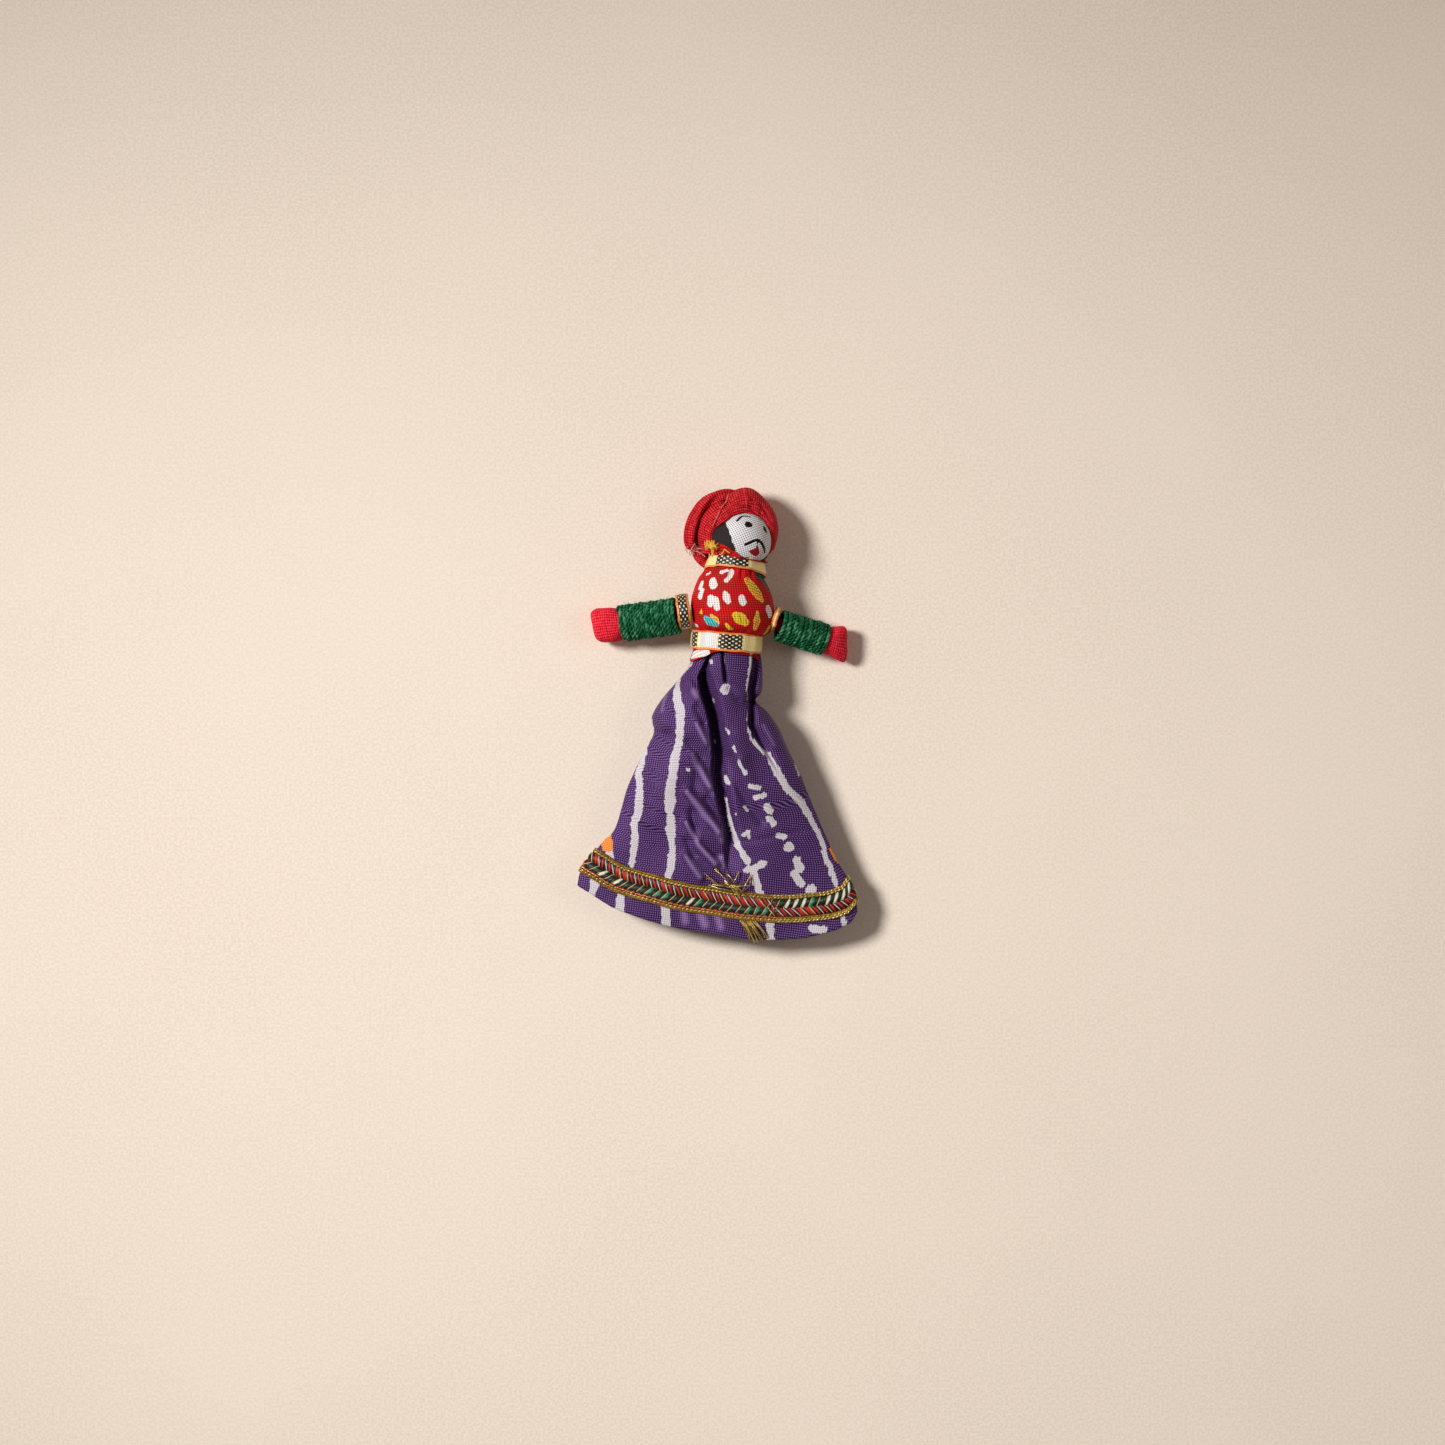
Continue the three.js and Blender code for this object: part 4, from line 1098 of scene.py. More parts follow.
def ribbon_ring(name, centre, across, out, axis, radii, width, marks, body, bow=0.0, tips=0.0):
    """A flat tape tied round something. Bow lifts its front along the axis, and tips tilts its width."""
    angle = around(RIBBON_COLUMNS)
    c, s = np.cos(angle)[:, None], np.sin(angle)[:, None]
    ring = centre + radii[0] * c * across + radii[1] * s * out
    ring = ring + (bow * np.sin(angle))[:, None] * axis
    outward = unit(c * across / radii[0] + s * out / radii[1])
    profile = np.linspace(-0.5, 0.5, 11)
    waves = 0.12 * np.sin(7 * angle) + 0.08 * np.sin(12 * angle + 1)
    rows = []
    for p in profile:
        crown = 0.22 * (1 - (2 * p) ** 2)
        proud = RIBBON_THICKNESS + crown + tips * p + waves[:, None]
        rows.append(ring + (p * width + waves * 0.5)[:, None] * axis + outward * proud)
    for p in profile[::-1]:
        inner = tips * p + waves[:, None]
        rows.append(ring + (p * width * 0.96 + waves * 0.5)[:, None] * axis + outward * inner)
    grid = np.array(rows + rows[:1])
    across_mm = np.concatenate([profile, profile[::-1], profile[:1]]) * width
    uv = pair_map(row_lengths(grid)[5], across_mm)
    edge = (width / 2 - np.abs(across_mm))[:, None] - RIBBON_EDGE
    values = {"edge": np.broadcast_to(edge, grid.shape[:2])}
    for kind in ("check", "white"):
        near = mark_distance(marks, kind, np.degrees(angle), radii[0])
        values[kind] = np.broadcast_to(near[None, :], grid.shape[:2])
    tape = cloth_grid(name, grid, GOTA, uv, values=values)
    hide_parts(body)
    return tape


def make_ribbons():
    axis = SPINE * math.cos(WAIST_TAPE_TILT) - LATERAL * math.sin(WAIST_TAPE_TILT)
    across = LATERAL * math.cos(WAIST_TAPE_TILT) + SPINE * math.sin(WAIST_TAPE_TILT)
    waist = ribbon_ring(
        "waist_ribbon_tape", WAIST, across, UP, axis, radii=(9.35, 6.7), width=5.2, marks=WAIST_MARKS,
        body="waist_ribbon",
    )
    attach(waist, "waist")
    centre = on_spine(NECK_TAPE_UP) - 0.1 * LATERAL
    neck = ribbon_ring(
        "neck_ribbon_tape", centre, LATERAL, UP, SPINE, radii=(7.75, 8.7), width=3.8, marks=NECK_MARKS,
        body="neck_ribbon", bow=1.7, tips=-0.95,
    )
    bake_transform(neck)


# Arms
YARN_TWIST = 2.6
FUZZ_HAIRS = 260


class Arm:
    """One arm. place(s, wide, deep, angle) is s mm from the shoulder, on an oval round the axis."""

    def __init__(self, side, shoulder, tip):
        self.side = side
        self.start = np.array(shoulder, float)
        self.axis = unit(np.array(tip) - self.start)
        self.across = unit(np.cross(self.axis, UP))
        self.out = np.cross(self.across, self.axis)

    def place(self, s, wide, deep, angle):
        values = [np.asarray(value, float) for value in (s, wide, deep, angle)]
        s, wide, deep, angle = np.broadcast_arrays(*values)
        off = (wide * np.cos(angle))[..., None] * self.across + (deep * np.sin(angle))[..., None] * self.out
        return self.start + s[..., None] * self.axis + off


LEFT = Arm("left", [-10.6, 27.1, 10], [-35.5, 23.7, 4.3])
RIGHT = Arm("right", [18.2, 24, 9.8], [36.2, 18.4, 3.5])
# Each hand: (distance from the shoulder, half width, half depth, shift across)
LEFT_HAND = [
    (0.8, 3.0, 3.0, 0), (2.0, 3.8, 3.8, 0), (16.2, 3.9, 3.9, 0), (17.3, 4.5, 4.2, 0),
    (18.6, 4.7, 4.5, -0.1), (21, 4.8, 4.6, -0.2), (23.2, 4.75, 4.2, -0.3), (24.2, 4.4, 3.3, -0.3),
    (24.7, 3.6, 2.2, -0.2), (24.9, 1.8, 1.0, 0), (24.9, 0.02, 0.02, 0),
]
RIGHT_HAND = [
    (0.8, 2.6, 2.6, 0), (2.0, 3.2, 3.2, 0), (12.0, 3.4, 3.4, 0), (13.4, 3.8, 3.8, 0.1),
    (15.4, 4.2, 3.8, 0.2), (17.2, 4.7, 3.2, 0.35), (18.4, 4.8, 2.5, 0.4), (19.0, 4.4, 1.7, 0.4),
    (19.3, 3.2, 1.0, 0.4), (19.4, 1.4, 0.5, 0.4), (19.4, 0.02, 0.02, 0.4),
]


def make_arm_cloth(arm, stations, squareness, sleeve_end, skew, phase):
    """The bag of an arm, round under its sleeve and squarer at the hand, where skew shears it."""
    angle = around(110)
    table = np.array(stations)
    gaps = np.diff(table[:, 0]) + np.abs(np.diff(table[:, 1]))
    place = np.concatenate([[0], np.cumsum(gaps)])
    rows = []
    for f in np.linspace(0, place[-1], 90):
        s, wide, deep, shift = (np.interp(f, place, table[:, k]) for k in range(4))
        c, n = np.cos(angle), np.sin(angle)
        power = 2 + (squareness - 2) * ease(s, sleeve_end, sleeve_end + 3)
        square = (np.abs(c) ** power + np.abs(n) ** power) ** (-1 / power)
        lump = 0.12 * np.sin(5 * angle + s * 0.9 + phase) + 0.1 * np.sin(3 * angle - s * 0.7)
        lump = lump * ease(s, 15, 18) * min(1, wide / 3)
        sheared = s + skew * wide * c * ease(s, sleeve_end - 2, table[-1, 0])
        ring = arm.place(sheared, wide * square + lump, deep * square + lump, angle)
        rows.append(ring - shift * arm.across)
    grid = smooth_rows(np.array(rows), 2)
    cloth = cloth_grid(f"{arm.side}_arm_bag", grid, HAND_RED, plain_map(grid), flip=True)
    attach(cloth, f"{arm.side}_arm")
    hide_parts(f"{arm.side}_arm_cloth")


def wander(angle, step, size, rng):
    """A smooth random wander with one new value every step radians."""
    knots = np.arange(0, angle[-1] + 2 * step, step)
    return np.interp(angle, knots, rng.normal(0, size, len(knots)))


def wind(strands, arm, rng, start, end, radius, pitch, slant, ply):
    """Two-ply yarn wound round the sleeve. Its turns lean, so both ends of the winding lean too."""
    turns = (end - start) / pitch
    angle = np.linspace(0, turns * 2 * math.pi, int(turns * 110))
    along = start + angle / (2 * math.pi) * pitch + slant * np.cos(angle) + wander(angle, 2.4, 0.13, rng)
    level = radius + wander(angle, 1.7, 0.08, rng)
    outward = unit(arm.place(0, 1, 1, angle) - arm.start)
    for k in (0, 1):
        twist = angle * radius / YARN_TWIST * 2 * math.pi + k * math.pi
        off = 0.8 * ply * (np.cos(twist)[:, None] * outward + np.sin(twist)[:, None] * arm.axis)
        strands.add(arm.place(along, level, level, angle) + off, ply, k, outward)


def add_fuzz(strands, arm, start, end, radius, rng):
    """Short loose hairs that stand out of the wool."""
    for _ in range(FUZZ_HAIRS):
        s, angle = rng.uniform(start, end), rng.uniform(0, 2 * math.pi)
        outward = unit(arm.place(0, 1, 1, angle) - arm.start)
        base = arm.place(s, radius, radius, angle)
        drift = rng.normal(0, 0.5) * arm.axis + rng.normal(0, 0.5) * np.cross(outward, arm.axis)
        tip = base + outward * rng.uniform(0.4, 0.9) + drift * 1.6
        line = [base, base + outward * 0.3 + drift * 0.6, tip]
        strands.add(curve(line, 6), np.linspace(0.035, 0.015, 6), 0, sides=4)


def make_sleeve(arm, start, end, radius, lean, seed):
    """Three layers of yarn, the last one wound loosely over the others, with loose hairs."""
    rng = np.random.default_rng(seed)
    strands = Strands()
    wind(strands, arm, rng, start + 0.3, end - 0.2, radius - 0.8, pitch=0.66, slant=0.0, ply=0.27)
    wind(strands, arm, rng, start, end, radius - 0.45, pitch=1.0, slant=lean, ply=0.34)
    wind(strands, arm, rng, start + 1, end - 1, radius - 0.3, pitch=3.1, slant=0.5 - lean, ply=0.32)
    add_fuzz(strands, arm, start, end, radius - 0.1, rng)
    yarn = strands.build(f"{arm.side}_sleeve_wool", WOOL)
    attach(yarn, f"{arm.side}_arm")
    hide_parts(f"{arm.side}_sleeve_yarn")


def make_shoulder_ribbon(arm, centre, radii, width, marks):
    axis = unit(arm.axis * [1, 1, 0])
    across = unit(np.cross(axis, UP))
    centre = np.array(centre, float)
    name = f"{arm.side}_shoulder"
    tape = ribbon_ring(f"{name}_tape", centre, across, UP, axis, radii, width, marks, f"{name}_ribbon")
    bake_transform(tape)


def make_arms():
    make_arm_cloth(LEFT, LEFT_HAND, squareness=3.4, sleeve_end=17.0, skew=0.1, phase=1)
    make_arm_cloth(RIGHT, RIGHT_HAND, squareness=2.8, sleeve_end=13.6, skew=0.34, phase=4)
    make_sleeve(LEFT, start=0.5, end=16.6, radius=5.05, lean=0.5, seed=11)
    make_sleeve(RIGHT, start=-1.3, end=12.7, radius=4.45, lean=-0.1, seed=12)
    make_shoulder_ribbon(LEFT, centre=(-9.6, 28.3, 10), radii=(4.3, 5.2), width=3.6, marks=LEFT_MARKS)
    make_shoulder_ribbon(RIGHT, centre=(15.9, 26.0, 9.8), radii=(3.1, 4.4), width=1.5, marks=RIGHT_MARKS)


# Head
FACE_AIM = unit([4.0, 1.0, 7.4])
HEAD_ROWS = 150
HEAD_COLUMNS = 260
# The face's paint: (x, y) from the middle of the head, half widths
EYES = [([(1.95, 4.42), (2.25, 4.38)], 0.95), ([(6.5, 3.6), (6.75, 3.05), (6.95, 2.6)], [0.5, 0.75, 0.6])]
BROWS = [
    (
        [(-1.04, 5.46), (-0.39, 6.23), (0.48, 6.77), (1.36, 6.77), (2.45, 6.55)],
        [0.34, 0.34, 0.26, 0.28, 0.24],
    ),
    ([(4.9, 6.05), (5.5, 5.95), (5.9, 5.7)], [0.12, 0.2, 0.16]),
]
MOUSTACHE = [
    ([(1.2, -1.25), (2.1, -0.85), (3.1, -0.3), (4.2, 0.05), (4.8, 0.1)], [0.4, 0.44, 0.42, 0.36, 0.36]),
    (
        [(4.8, 0.1), (5.35, -0.35), (6.05, -1.2), (6.4, -2.3), (6.52, -3.35)],
        [0.38, 0.46, 0.44, 0.4, 0.28],
    ),
    ([(4.68, 0.6), (4.6, -0.4), (4.55, -1.2)], [0.1, 0.4, 0.12]),
]
LIPS = [
    ([(2.3, -3.05), (3.3, -3.2), (4.3, -3.5)], [0.22, 0.78, 1.0]),
    ([(4.4, -1.4), (4.6, -2.5), (4.5, -3.6)], [0.15, 0.45, 0.7]), ([(3.9, -2.5), (4.5, -2.2)], 0.35),
]


def on_head(strokes, steps=8):
    """The strokes moved up on to the ball of the head."""
    out = []
    for line, halves in strokes:
        fine = even(np.array(line, float), steps)
        halves = np.broadcast_to(halves, (len(line),))
        halves = np.interp(np.linspace(0, 1, steps), np.linspace(0, 1, len(line)), halves)
        depth = np.sqrt(np.maximum(HEAD_RADIUS**2 - (fine**2).sum(1), 0.2))
        out.append((np.column_stack([fine, depth]), halves))
    return out


def head_map(direction):
    """The face cloth laid out flat round the middle of the face."""
    right = unit(np.cross([0, 1, 0], FACE_AIM))
    top = np.cross(FACE_AIM, right)
    away = np.arccos(np.clip(direction @ FACE_AIM, -1, 1)) * HEAD_RADIUS
    x, y = direction @ right, direction @ top
    size = np.maximum(np.hypot(x, y), 1e-6)
    return np.stack([away * x / size, away * y / size], axis=-1)


def hair_distance(flat):
    """Signed distance to the hair's edge: the hair covers one side of the face and all of the back."""
    x, y, z = flat.T
    side = 0.942 * x + 0.336 * y + 2.34
    nape = 0.7 * (y + z + 2.0)
    back = 0.9 * (z - 0.9)
    return np.minimum(np.minimum(side, nape), back)


def make_head():
    polar = np.linspace(0.02, math.pi - 0.02, HEAD_ROWS)[:, None]
    turn = around(HEAD_COLUMNS)[None, :]
    parts = np.sin(polar) * np.cos(turn), -np.cos(polar), np.sin(polar) * np.sin(turn)
    direction = np.stack(np.broadcast_arrays(*parts), axis=-1)
    dent = 1 + 0.006 * np.sin(5 * direction[..., 0] + 1) * np.sin(4 * direction[..., 1])
    grid = HEAD + direction * HEAD_RADIUS * dent[..., None]
    flat = (direction * HEAD_RADIUS).reshape(-1, 3)
    values = {
        "hair": hair_distance(flat),
        "line": stroke_distance(flat, on_head(EYES + BROWS + MOUSTACHE)),
        "lips": stroke_distance(flat, on_head(LIPS)),
    }
    uv = head_map(np.concatenate([direction, direction[:, :1]], axis=1))
    head = cloth_grid("head_painted_cloth", grid, FACE_CLOTH, uv, values=values, flip=True)
    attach(head, "head")
    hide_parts("head_cloth")


# Turban: the edge round the face and the outline seen from the front
OPENING = [
    (-2.4, 44.3), (-2.0, 47.6), (-1.9, 49.9), (-0.9, 51.6), (1.9, 53.8), (3.6, 55.1), (5.5, 55.8),
    (7.3, 56.1), (9.6, 55.7), (11.6, 54.7), (13.5, 53.2), (14.7, 51.4), (15.2, 49.0), (15.2, 46.8),
    (14.4, 44.2),
]
CROWN_OUTLINE = [
    (-5.3, 44.4), (-5.9, 47.8), (-6.0, 50.6), (-5.2, 54.2), (-3.3, 56.7), (-0.8, 58.8), (1.8, 59.7),
    (3.4, 61.4), (6.9, 62.6), (9.7, 62.2), (12.3, 60.2), (14.5, 57.6), (16.0, 54.8), (16.6, 51.7),
    (16.4, 48.9), (15.4, 45.4),
]
# Creases of the crown: line, height, width
CROWN_FOLDS = [
    ([(2.8, 61), (2.3, 58.7), (1.0, 57.0), (-0.3, 54.3), (-1.2, 52.2)], 0.45, 0.28),
    ([(2.2, 61), (1.7, 58.9), (0.4, 57.1), (-0.9, 54.5), (-1.8, 52.4)], -0.6, 0.45),
    ([(7.4, 62.4), (8.0, 60.2), (8.2, 57.6)], 0.3, 0.3),
    ([(8.9, 57.2), (11.4, 55.0), (13.3, 53.0)], -0.5, 0.5),
    ([(9.6, 59.4), (12.4, 57), (14.6, 53.8)], -0.4, 0.5), ([(10.5, 58), (12.8, 55.6)], 0.35, 0.35),
    ([(4, 58.5), (7, 58.8), (9.5, 57.8)], -0.35, 0.5), ([(3.2, 56.4), (6.6, 57.4)], 0.3, 0.5),
    ([(-3.6, 50), (-2.4, 54.2), (0, 57.2)], -0.35, 0.5), ([(-4.8, 47.5), (-4.2, 52)], 0.25, 0.6),
]
SELVEDGE_LINE = [(2.9, 61.2), (2.35, 58.8), (1.0, 57.0), (-0.3, 54.3), (-1.2, 52.2)]
ROLL_LINE = [
    (-5.6, 45.9, 8.4), (-7.3, 46.9, 9.2), (-7.6, 49.5, 9.8), (-7.15, 52.2, 10), (-6.0, 54.9, 10),
    (-4.1, 57.4, 10), (-1.5, 59.6, 9.8), (1.5, 60.7, 9.4), (4.6, 60.7, 8.2), (8, 60, 7),
]
ROLL_RADII = [1.3, 1.7, 1.75, 1.8, 1.8, 1.75, 1.65, 1.5, 1.2, 0.8]
ROLL_STEPS = 150
ROLL_COLUMNS = 72
ROLL_DEPTH = 1.65
ROLL_WRINKLE = 0.12
CROWN_COLUMNS = 260
CROWN_POLE = np.array([5.6, 47.6])
# Along the edge from the left cheek over the top to the right one: how far the crown stands over the
# head, and how high its widest line lies
CREST = ([0, 0.15, 0.5, 0.8, 1], [0.9, 1.6, 2.0, 1.2, 0.6])
RIM = ([0, 0.46, 0.55, 1], [7.4, 7.6, 9.6, 10.6])
# Rows of the crown: the rolled edge, the front and the back
EDGE_ROWS = 10
FRONT_ROWS = 56
BACK_ROWS = 60


def crown_rows():
    """The crown before its creases, from the edge round the face, over the front and round to the back."""
    inner = curve(OPENING, CROWN_COLUMNS)
    outer = curve(CROWN_OUTLINE, CROWN_COLUMNS)
    offset = inner - HEAD[:2]
    on_ball = HEAD[2] + np.sqrt(np.maximum((HEAD_RADIUS + 0.1) ** 2 - (offset**2).sum(1), 0.3))
    share = np.linspace(0, 1, CROWN_COLUMNS)
    crest = on_ball + np.interp(share, *CREST)
    rim = np.interp(share, *RIM)
    rows = []
    for t in np.linspace(0, 1, EDGE_ROWS):
        tuck = unit(HEAD[:2] - inner) * (0.55 * math.sin(t * math.pi) + 0.3 * (1 - t))
        z = on_ball - 0.5 + (crest - on_ball + 0.5) * math.sin(t * math.pi / 2)
        rows.append(np.column_stack([inner + tuck, z]))
    for a in np.linspace(0, 1, FRONT_ROWS)[1:]:
        plan = inner + (outer - inner) * math.sin(a * math.pi / 2) ** 1.1
        rows.append(np.column_stack([plan, rim + (crest - rim) * math.cos(a * math.pi / 2) ** 0.8]))
    for c in np.linspace(0, 1, BACK_ROWS)[1:]:
        plan = outer + (CROWN_POLE - outer) * (1 - math.cos(c * math.pi / 2)) * 0.98
        rows.append(np.column_stack([plan, rim - (rim - 1.6) * math.sin(c * math.pi / 2) ** 0.9]))
    return smooth_rows(np.array(rows)), rim


def crown_grid():
    grid, rim = crown_rows()
    normal = raised(grid_normals(grid, closed=False), 30, CROWN_COLUMNS // 2)
    height = np.zeros(grid.shape[:2])
    wraps = np.sin(np.linspace(0, 1, BACK_ROWS)[1:] * 15) * 0.3
    height[-len(wraps):] += wraps[:, None]
    flat = grid[..., :2].reshape(-1, 2)
    is_front = grid[..., 2] > rim[None, :] + 0.2
    for line, rise, width in CROWN_FOLDS:
        distance = stroke_distance(flat, [(line, 0.0)]).reshape(height.shape)
        height += rise * np.exp(-((distance / width) ** 2)) * is_front
    return grid + normal * height[..., None]


def roll_grid():
    """The turban's outer turn: a soft roll of cloth with long wrinkles."""
    path = curve(ROLL_LINE, ROLL_STEPS)
    share = np.linspace(0, 1, ROLL_STEPS)
    radii = np.interp(share, np.linspace(0, 1, len(ROLL_RADII)), ROLL_RADII)
    radii = (radii * np.sqrt(np.clip(np.minimum(share * 12, (1 - share) * 12), 0.002, 1)))[:, None]
    side = unit(np.cross(unit(np.gradient(path, axis=0)), UP))
    over = np.cross(side, unit(np.gradient(path, axis=0)))
    angle = around(ROLL_COLUMNS)[None, :]
    rng = np.random.default_rng(2)
    bumps = 0
    for waves in (3, 4, 5, 7, 9):
        height = rng.normal(0, ROLL_WRINKLE)
        phase = rng.uniform(0, 6)
        twist = 3 * np.sin(share[:, None] * rng.uniform(2, 7))
        bumps = bumps + height * np.sin(waves * angle + phase + twist)
    r = radii + bumps * np.minimum(1, radii / 1.5)
    across = r * np.cos(angle)
    out = r * (np.sin(angle) * ROLL_DEPTH)
    return path[:, None] + across[..., None] * side[:, None] + out[..., None] * over[:, None]


def make_selvedge(crown):
    """The turban cloth's woven edge, which shows as a light line over the crown."""
    points = crown.reshape(-1, 3)
    front = points[points[:, 2] > HEAD[2] - 3]
    path = lifted([(curve(SELVEDGE_LINE, 40), 0.0)], front)[0][0]
    selvedge = Strands()
    for side in (-0.12, 0.14):
        selvedge.add(path + np.array([side, side, 0.12]), 0.16, 1)
    thread = thread_material("selvedge_thread", [rgb(214, 60, 60), rgb(240, 104, 96)])
    piece = selvedge.build("turban_selvedge", thread)
    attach(piece, "head")


def make_turban():
    crown = crown_grid()
    make_selvedge(crown)
    crown_map = plain_map(crown, closed=False)
    crown_cloth = cloth_grid("turban_crown_cloth", crown, TURBAN_RED, crown_map, closed=False)
    roll = roll_grid()
    roll_cloth = cloth_grid("turban_roll_cloth", roll, TURBAN_RED, plain_map(roll), flip=True)
    tail = make_tail()
    for piece, node in ((crown_cloth, "turban_crown"), (roll_cloth, "turban_roll"), (tail, "turban_tail")):
        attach(piece, "head")
        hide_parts(node)


TAIL_STEPS = 26
TAIL_LEFT = [(-7.6, 45.4), (-6.6, 42.9), (-5.2, 41.3), (-3.6, 40.1)]
TAIL_RIGHT = [(-3.2, 46.8), (-2.6, 44.6), (-2.7, 42.6), (-3.2, 40.3)]
TAIL_THICKNESS = 1.2


def make_tail():
    """The loose end of the turban: a small folded triangle of cloth."""
    left = curve(TAIL_LEFT, TAIL_STEPS)
    right = curve(TAIL_RIGHT, TAIL_STEPS)
    rows = []
    for t in np.linspace(0, 1, 20):
        waves = 0.35 * np.sin(np.arange(TAIL_STEPS) * 0.5 + 5 * t)
        rows.append(np.column_stack([left + (right - left) * t, 8.6 + 1.6 * math.sin(t * math.pi) + waves]))
    under = [row - [0, 0, TAIL_THICKNESS] for row in rows[::-1]]
    grid = np.array(rows + under + rows[:1])
    uv = plain_map(grid, closed=False)
    return cloth_grid("turban_tail_cloth", grid, TURBAN_RED, uv, closed=False, flip=True)


# Loose threads: pale ones at the turban's cut edge, gold ones at the neck frill
PALE_THREADS = [
    [(-6.8, 45.3, 11.6), (-5.2, 45.3, 12.4), (-4.0, 44.9, 12.2), (-3.0, 44.3, 12.4)],
    [(-6.2, 46.8, 12.4), (-6.3, 44.8, 11.8), (-6.4, 43.7, 10.6)],
    [(-8.3, 46.4, 10.6), (-8.8, 45.6, 10), (-8.7, 44.7, 9.4)],
    [(-7.0, 45.6, 11.4), (-7.6, 44.6, 10.6), (-7.1, 43.5, 10)],
    [(-4.2, 45.9, 12.6), (-3.3, 45.5, 13), (-2.8, 45.9, 13.2)],
]
GOLD_THREADS = [
    [(-1.6, 46.3, 18.6), (-1.7, 44.6, 18.9), (-1.5, 43.2, 18.7)],
    [(-1.3, 46.2, 18.6), (-1.3, 44.8, 18.9), (-1.6, 43.3, 18.7)],
    [(1.9, 45.5, 19.8), (1.5, 44.7, 20.1), (1.0, 44.1, 20)],
    [(1.9, 45.4, 19.8), (2.6, 44.8, 20.2), (3.3, 44.4, 20.2)],
]


KNOT = (-1.6, 46.4, 18.4)
KNOT_THREADS = 34


def pale_threads(rng):
    threads = Strands()
    for line in PALE_THREADS:
        path = curve(line, 14)
        for turn in (-0.5, -0.2, 0.15, 0.45):
            c, s = math.cos(turn), math.sin(turn)
            swing = np.array([[c, -s, 0], [s, c, 0], [0, 0, 1]])
            start = path[0] + rng.normal(0, 0.25, 3)
            bent = start + (path - path[0]) @ swing.T * rng.uniform(0.6, 1.0)
            threads.add(bent, 0.09, rng.integers(0, 2), sides=4)
    return threads


def gold_threads(rng):
    """A knot of short threads on the neck frill, and a few single ones beside it."""
    threads = Strands()
    for _ in range(KNOT_THREADS):
        middle = np.array([rng.normal(KNOT[0], 0.7), rng.normal(KNOT[1], 0.5), KNOT[2]])
        heading = rng.uniform(0, 2 * math.pi)
        step = np.array([math.cos(heading), math.sin(heading), 0]) * rng.uniform(0.5, 1.3)
        threads.add(curve([middle - step, middle + [0, 0, 0.7], middle + step], 10), 0.16, 1, sides=4)
    for line in GOLD_THREADS:
        threads.add(curve(line, 12), 0.17, 1, sides=4)
    return threads


def make_frayed_threads():
    """Loose warp threads at the turban's cut edge and at the neck frill."""
    rng = np.random.default_rng(21)
    frayed = thread_material("frayed_thread", [rgb(222, 96, 92), rgb(252, 214, 204)])
    pale = pale_threads(rng).build("turban_frayed_threads", frayed)
    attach(pale, "head")
    yellow = thread_material("yellow_thread", [rgb(255, 184, 40), rgb(255, 206, 70)])
    gold = gold_threads(rng).build("neck_frayed_threads", yellow)
    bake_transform(gold)


INSIDE = {
    "torso_stuffing": COTTON, "neck_stem": COTTON, "head_stuffing": COTTON, "left_arm_stuffing": COTTON,
    "right_arm_stuffing": COTTON, "left_shoulder_stub": HAND_RED, "right_shoulder_stub": HAND_RED,
}


def make_inside():
    """The hidden stuffing and stubs keep their CAD shapes in plain cotton or red cloth."""
    for node, material in INSIDE.items():
        for slot in frame["nodes"][node].material_slots:
            slot.material = material


# Floor, light and camera, in metres
FLOOR_HALF = 3.0
KEY_PLACE = Vector((-0.99, 0.371, 1.182))
KEY_AIM = Vector((0.03, -0.112, 0.0))
KEY = {
    "energy": 110, "color": (1.0, 0.99, 0.975), "shadow_soft_size": 0.2, "spot_size": 0.66, "spot_blend": 1.0,
}
PANEL_PLACE = Vector((0.85, 0.1, 0.9))
PANEL = {"size": 0.5, "energy": 1.3}
ROOM_COLOUR = (1.0, 0.82, 0.7, 1)
ROOM_STRENGTH = 0.15
CAMERA_PLACE = (0.00093, -0.00142, 3.0)
SENSOR = 36
VIEW_WIDTH = 0.4036


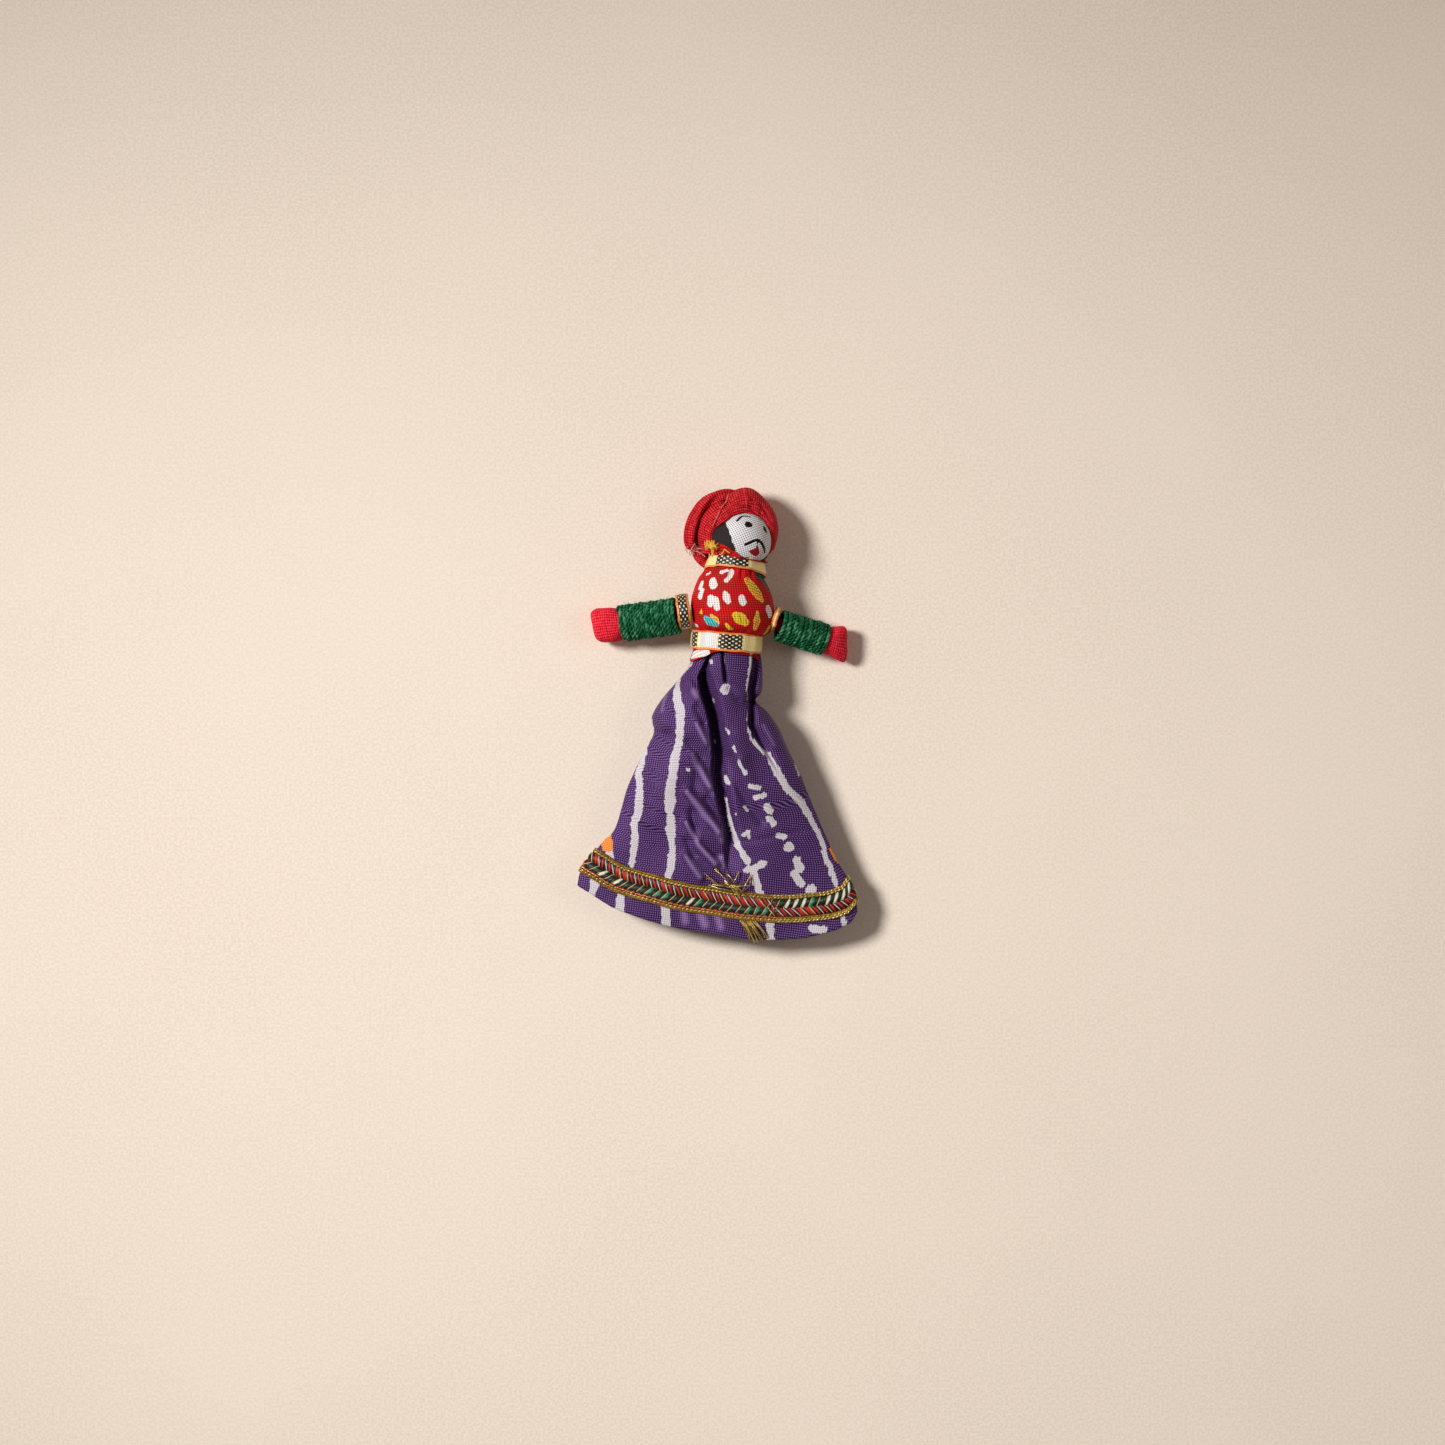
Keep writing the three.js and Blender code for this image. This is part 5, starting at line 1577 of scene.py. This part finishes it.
def make_stage():
    s = Shader("pale_floor", Roughness=0.9, Specular_IOR_Level=0.1)
    place = s.node("ShaderNodeTexCoord", output="Object")
    cloud = s.band(s.noise(place, 9.0, 3), 0.3, 0.7)
    grain = s.noise(place, 1400.0, 2)
    base = s.mix(cloud, rgb(233, 219, 203), rgb(240, 226, 210))
    base = s.mix(s.band(grain, 0.3, 0.7), base, rgb(248, 234, 219))
    corners = [(x * FLOOR_HALF, y * FLOOR_HALF, 0) for x, y in ((-1, -1), (1, -1), (1, 1), (-1, 1))]
    mesh = bpy.data.meshes.new("floor")
    mesh.from_pydata(corners, [], [(0, 1, 2, 3)])
    mesh.materials.append(s.finish(base, grain, 0.05))
    floor = bpy.data.objects.new("floor", mesh)
    bpy.context.scene.collection.objects.link(floor)


def make_lamp(name, kind, place, aim, settings):
    light = bpy.data.lights.new(name, kind)
    for key, value in settings.items():
        setattr(light, key, value)
    lamp = bpy.data.objects.new(name, light)
    lamp.location = place
    lamp.rotation_euler = (aim - place).to_track_quat("-Z", "Y").to_euler()
    bpy.context.scene.collection.objects.link(lamp)


def make_light():
    make_lamp("key", "SPOT", KEY_PLACE, KEY_AIM, KEY)
    make_lamp("panel", "AREA", PANEL_PLACE, Vector(), PANEL)
    world = bpy.data.worlds.new("studio")
    world.use_nodes = True
    background = world.node_tree.nodes["Background"]
    background.inputs["Color"].default_value = ROOM_COLOUR
    background.inputs["Strength"].default_value = ROOM_STRENGTH
    bpy.context.scene.world = world
    bpy.context.scene.view_settings.view_transform = "Standard"


def make_camera():
    camera = bpy.data.cameras.new("camera")
    camera.sensor_width = SENSOR
    camera.lens = SENSOR * CAMERA_PLACE[2] / VIEW_WIDTH
    obj = bpy.data.objects.new("camera", camera)
    obj.location = CAMERA_PLACE
    bpy.context.scene.collection.objects.link(obj)
    bpy.context.scene.camera = obj


make_stage()
make_light()
make_camera()
skirt, skirt_grid, skirt_front = make_skirt()
lace_pieces = make_lace(skirt_grid, skirt_front)
make_lace_ends()
make_bodice()
make_ribbons()
make_arms()
make_head()
make_turban()
make_frayed_threads()
make_inside()
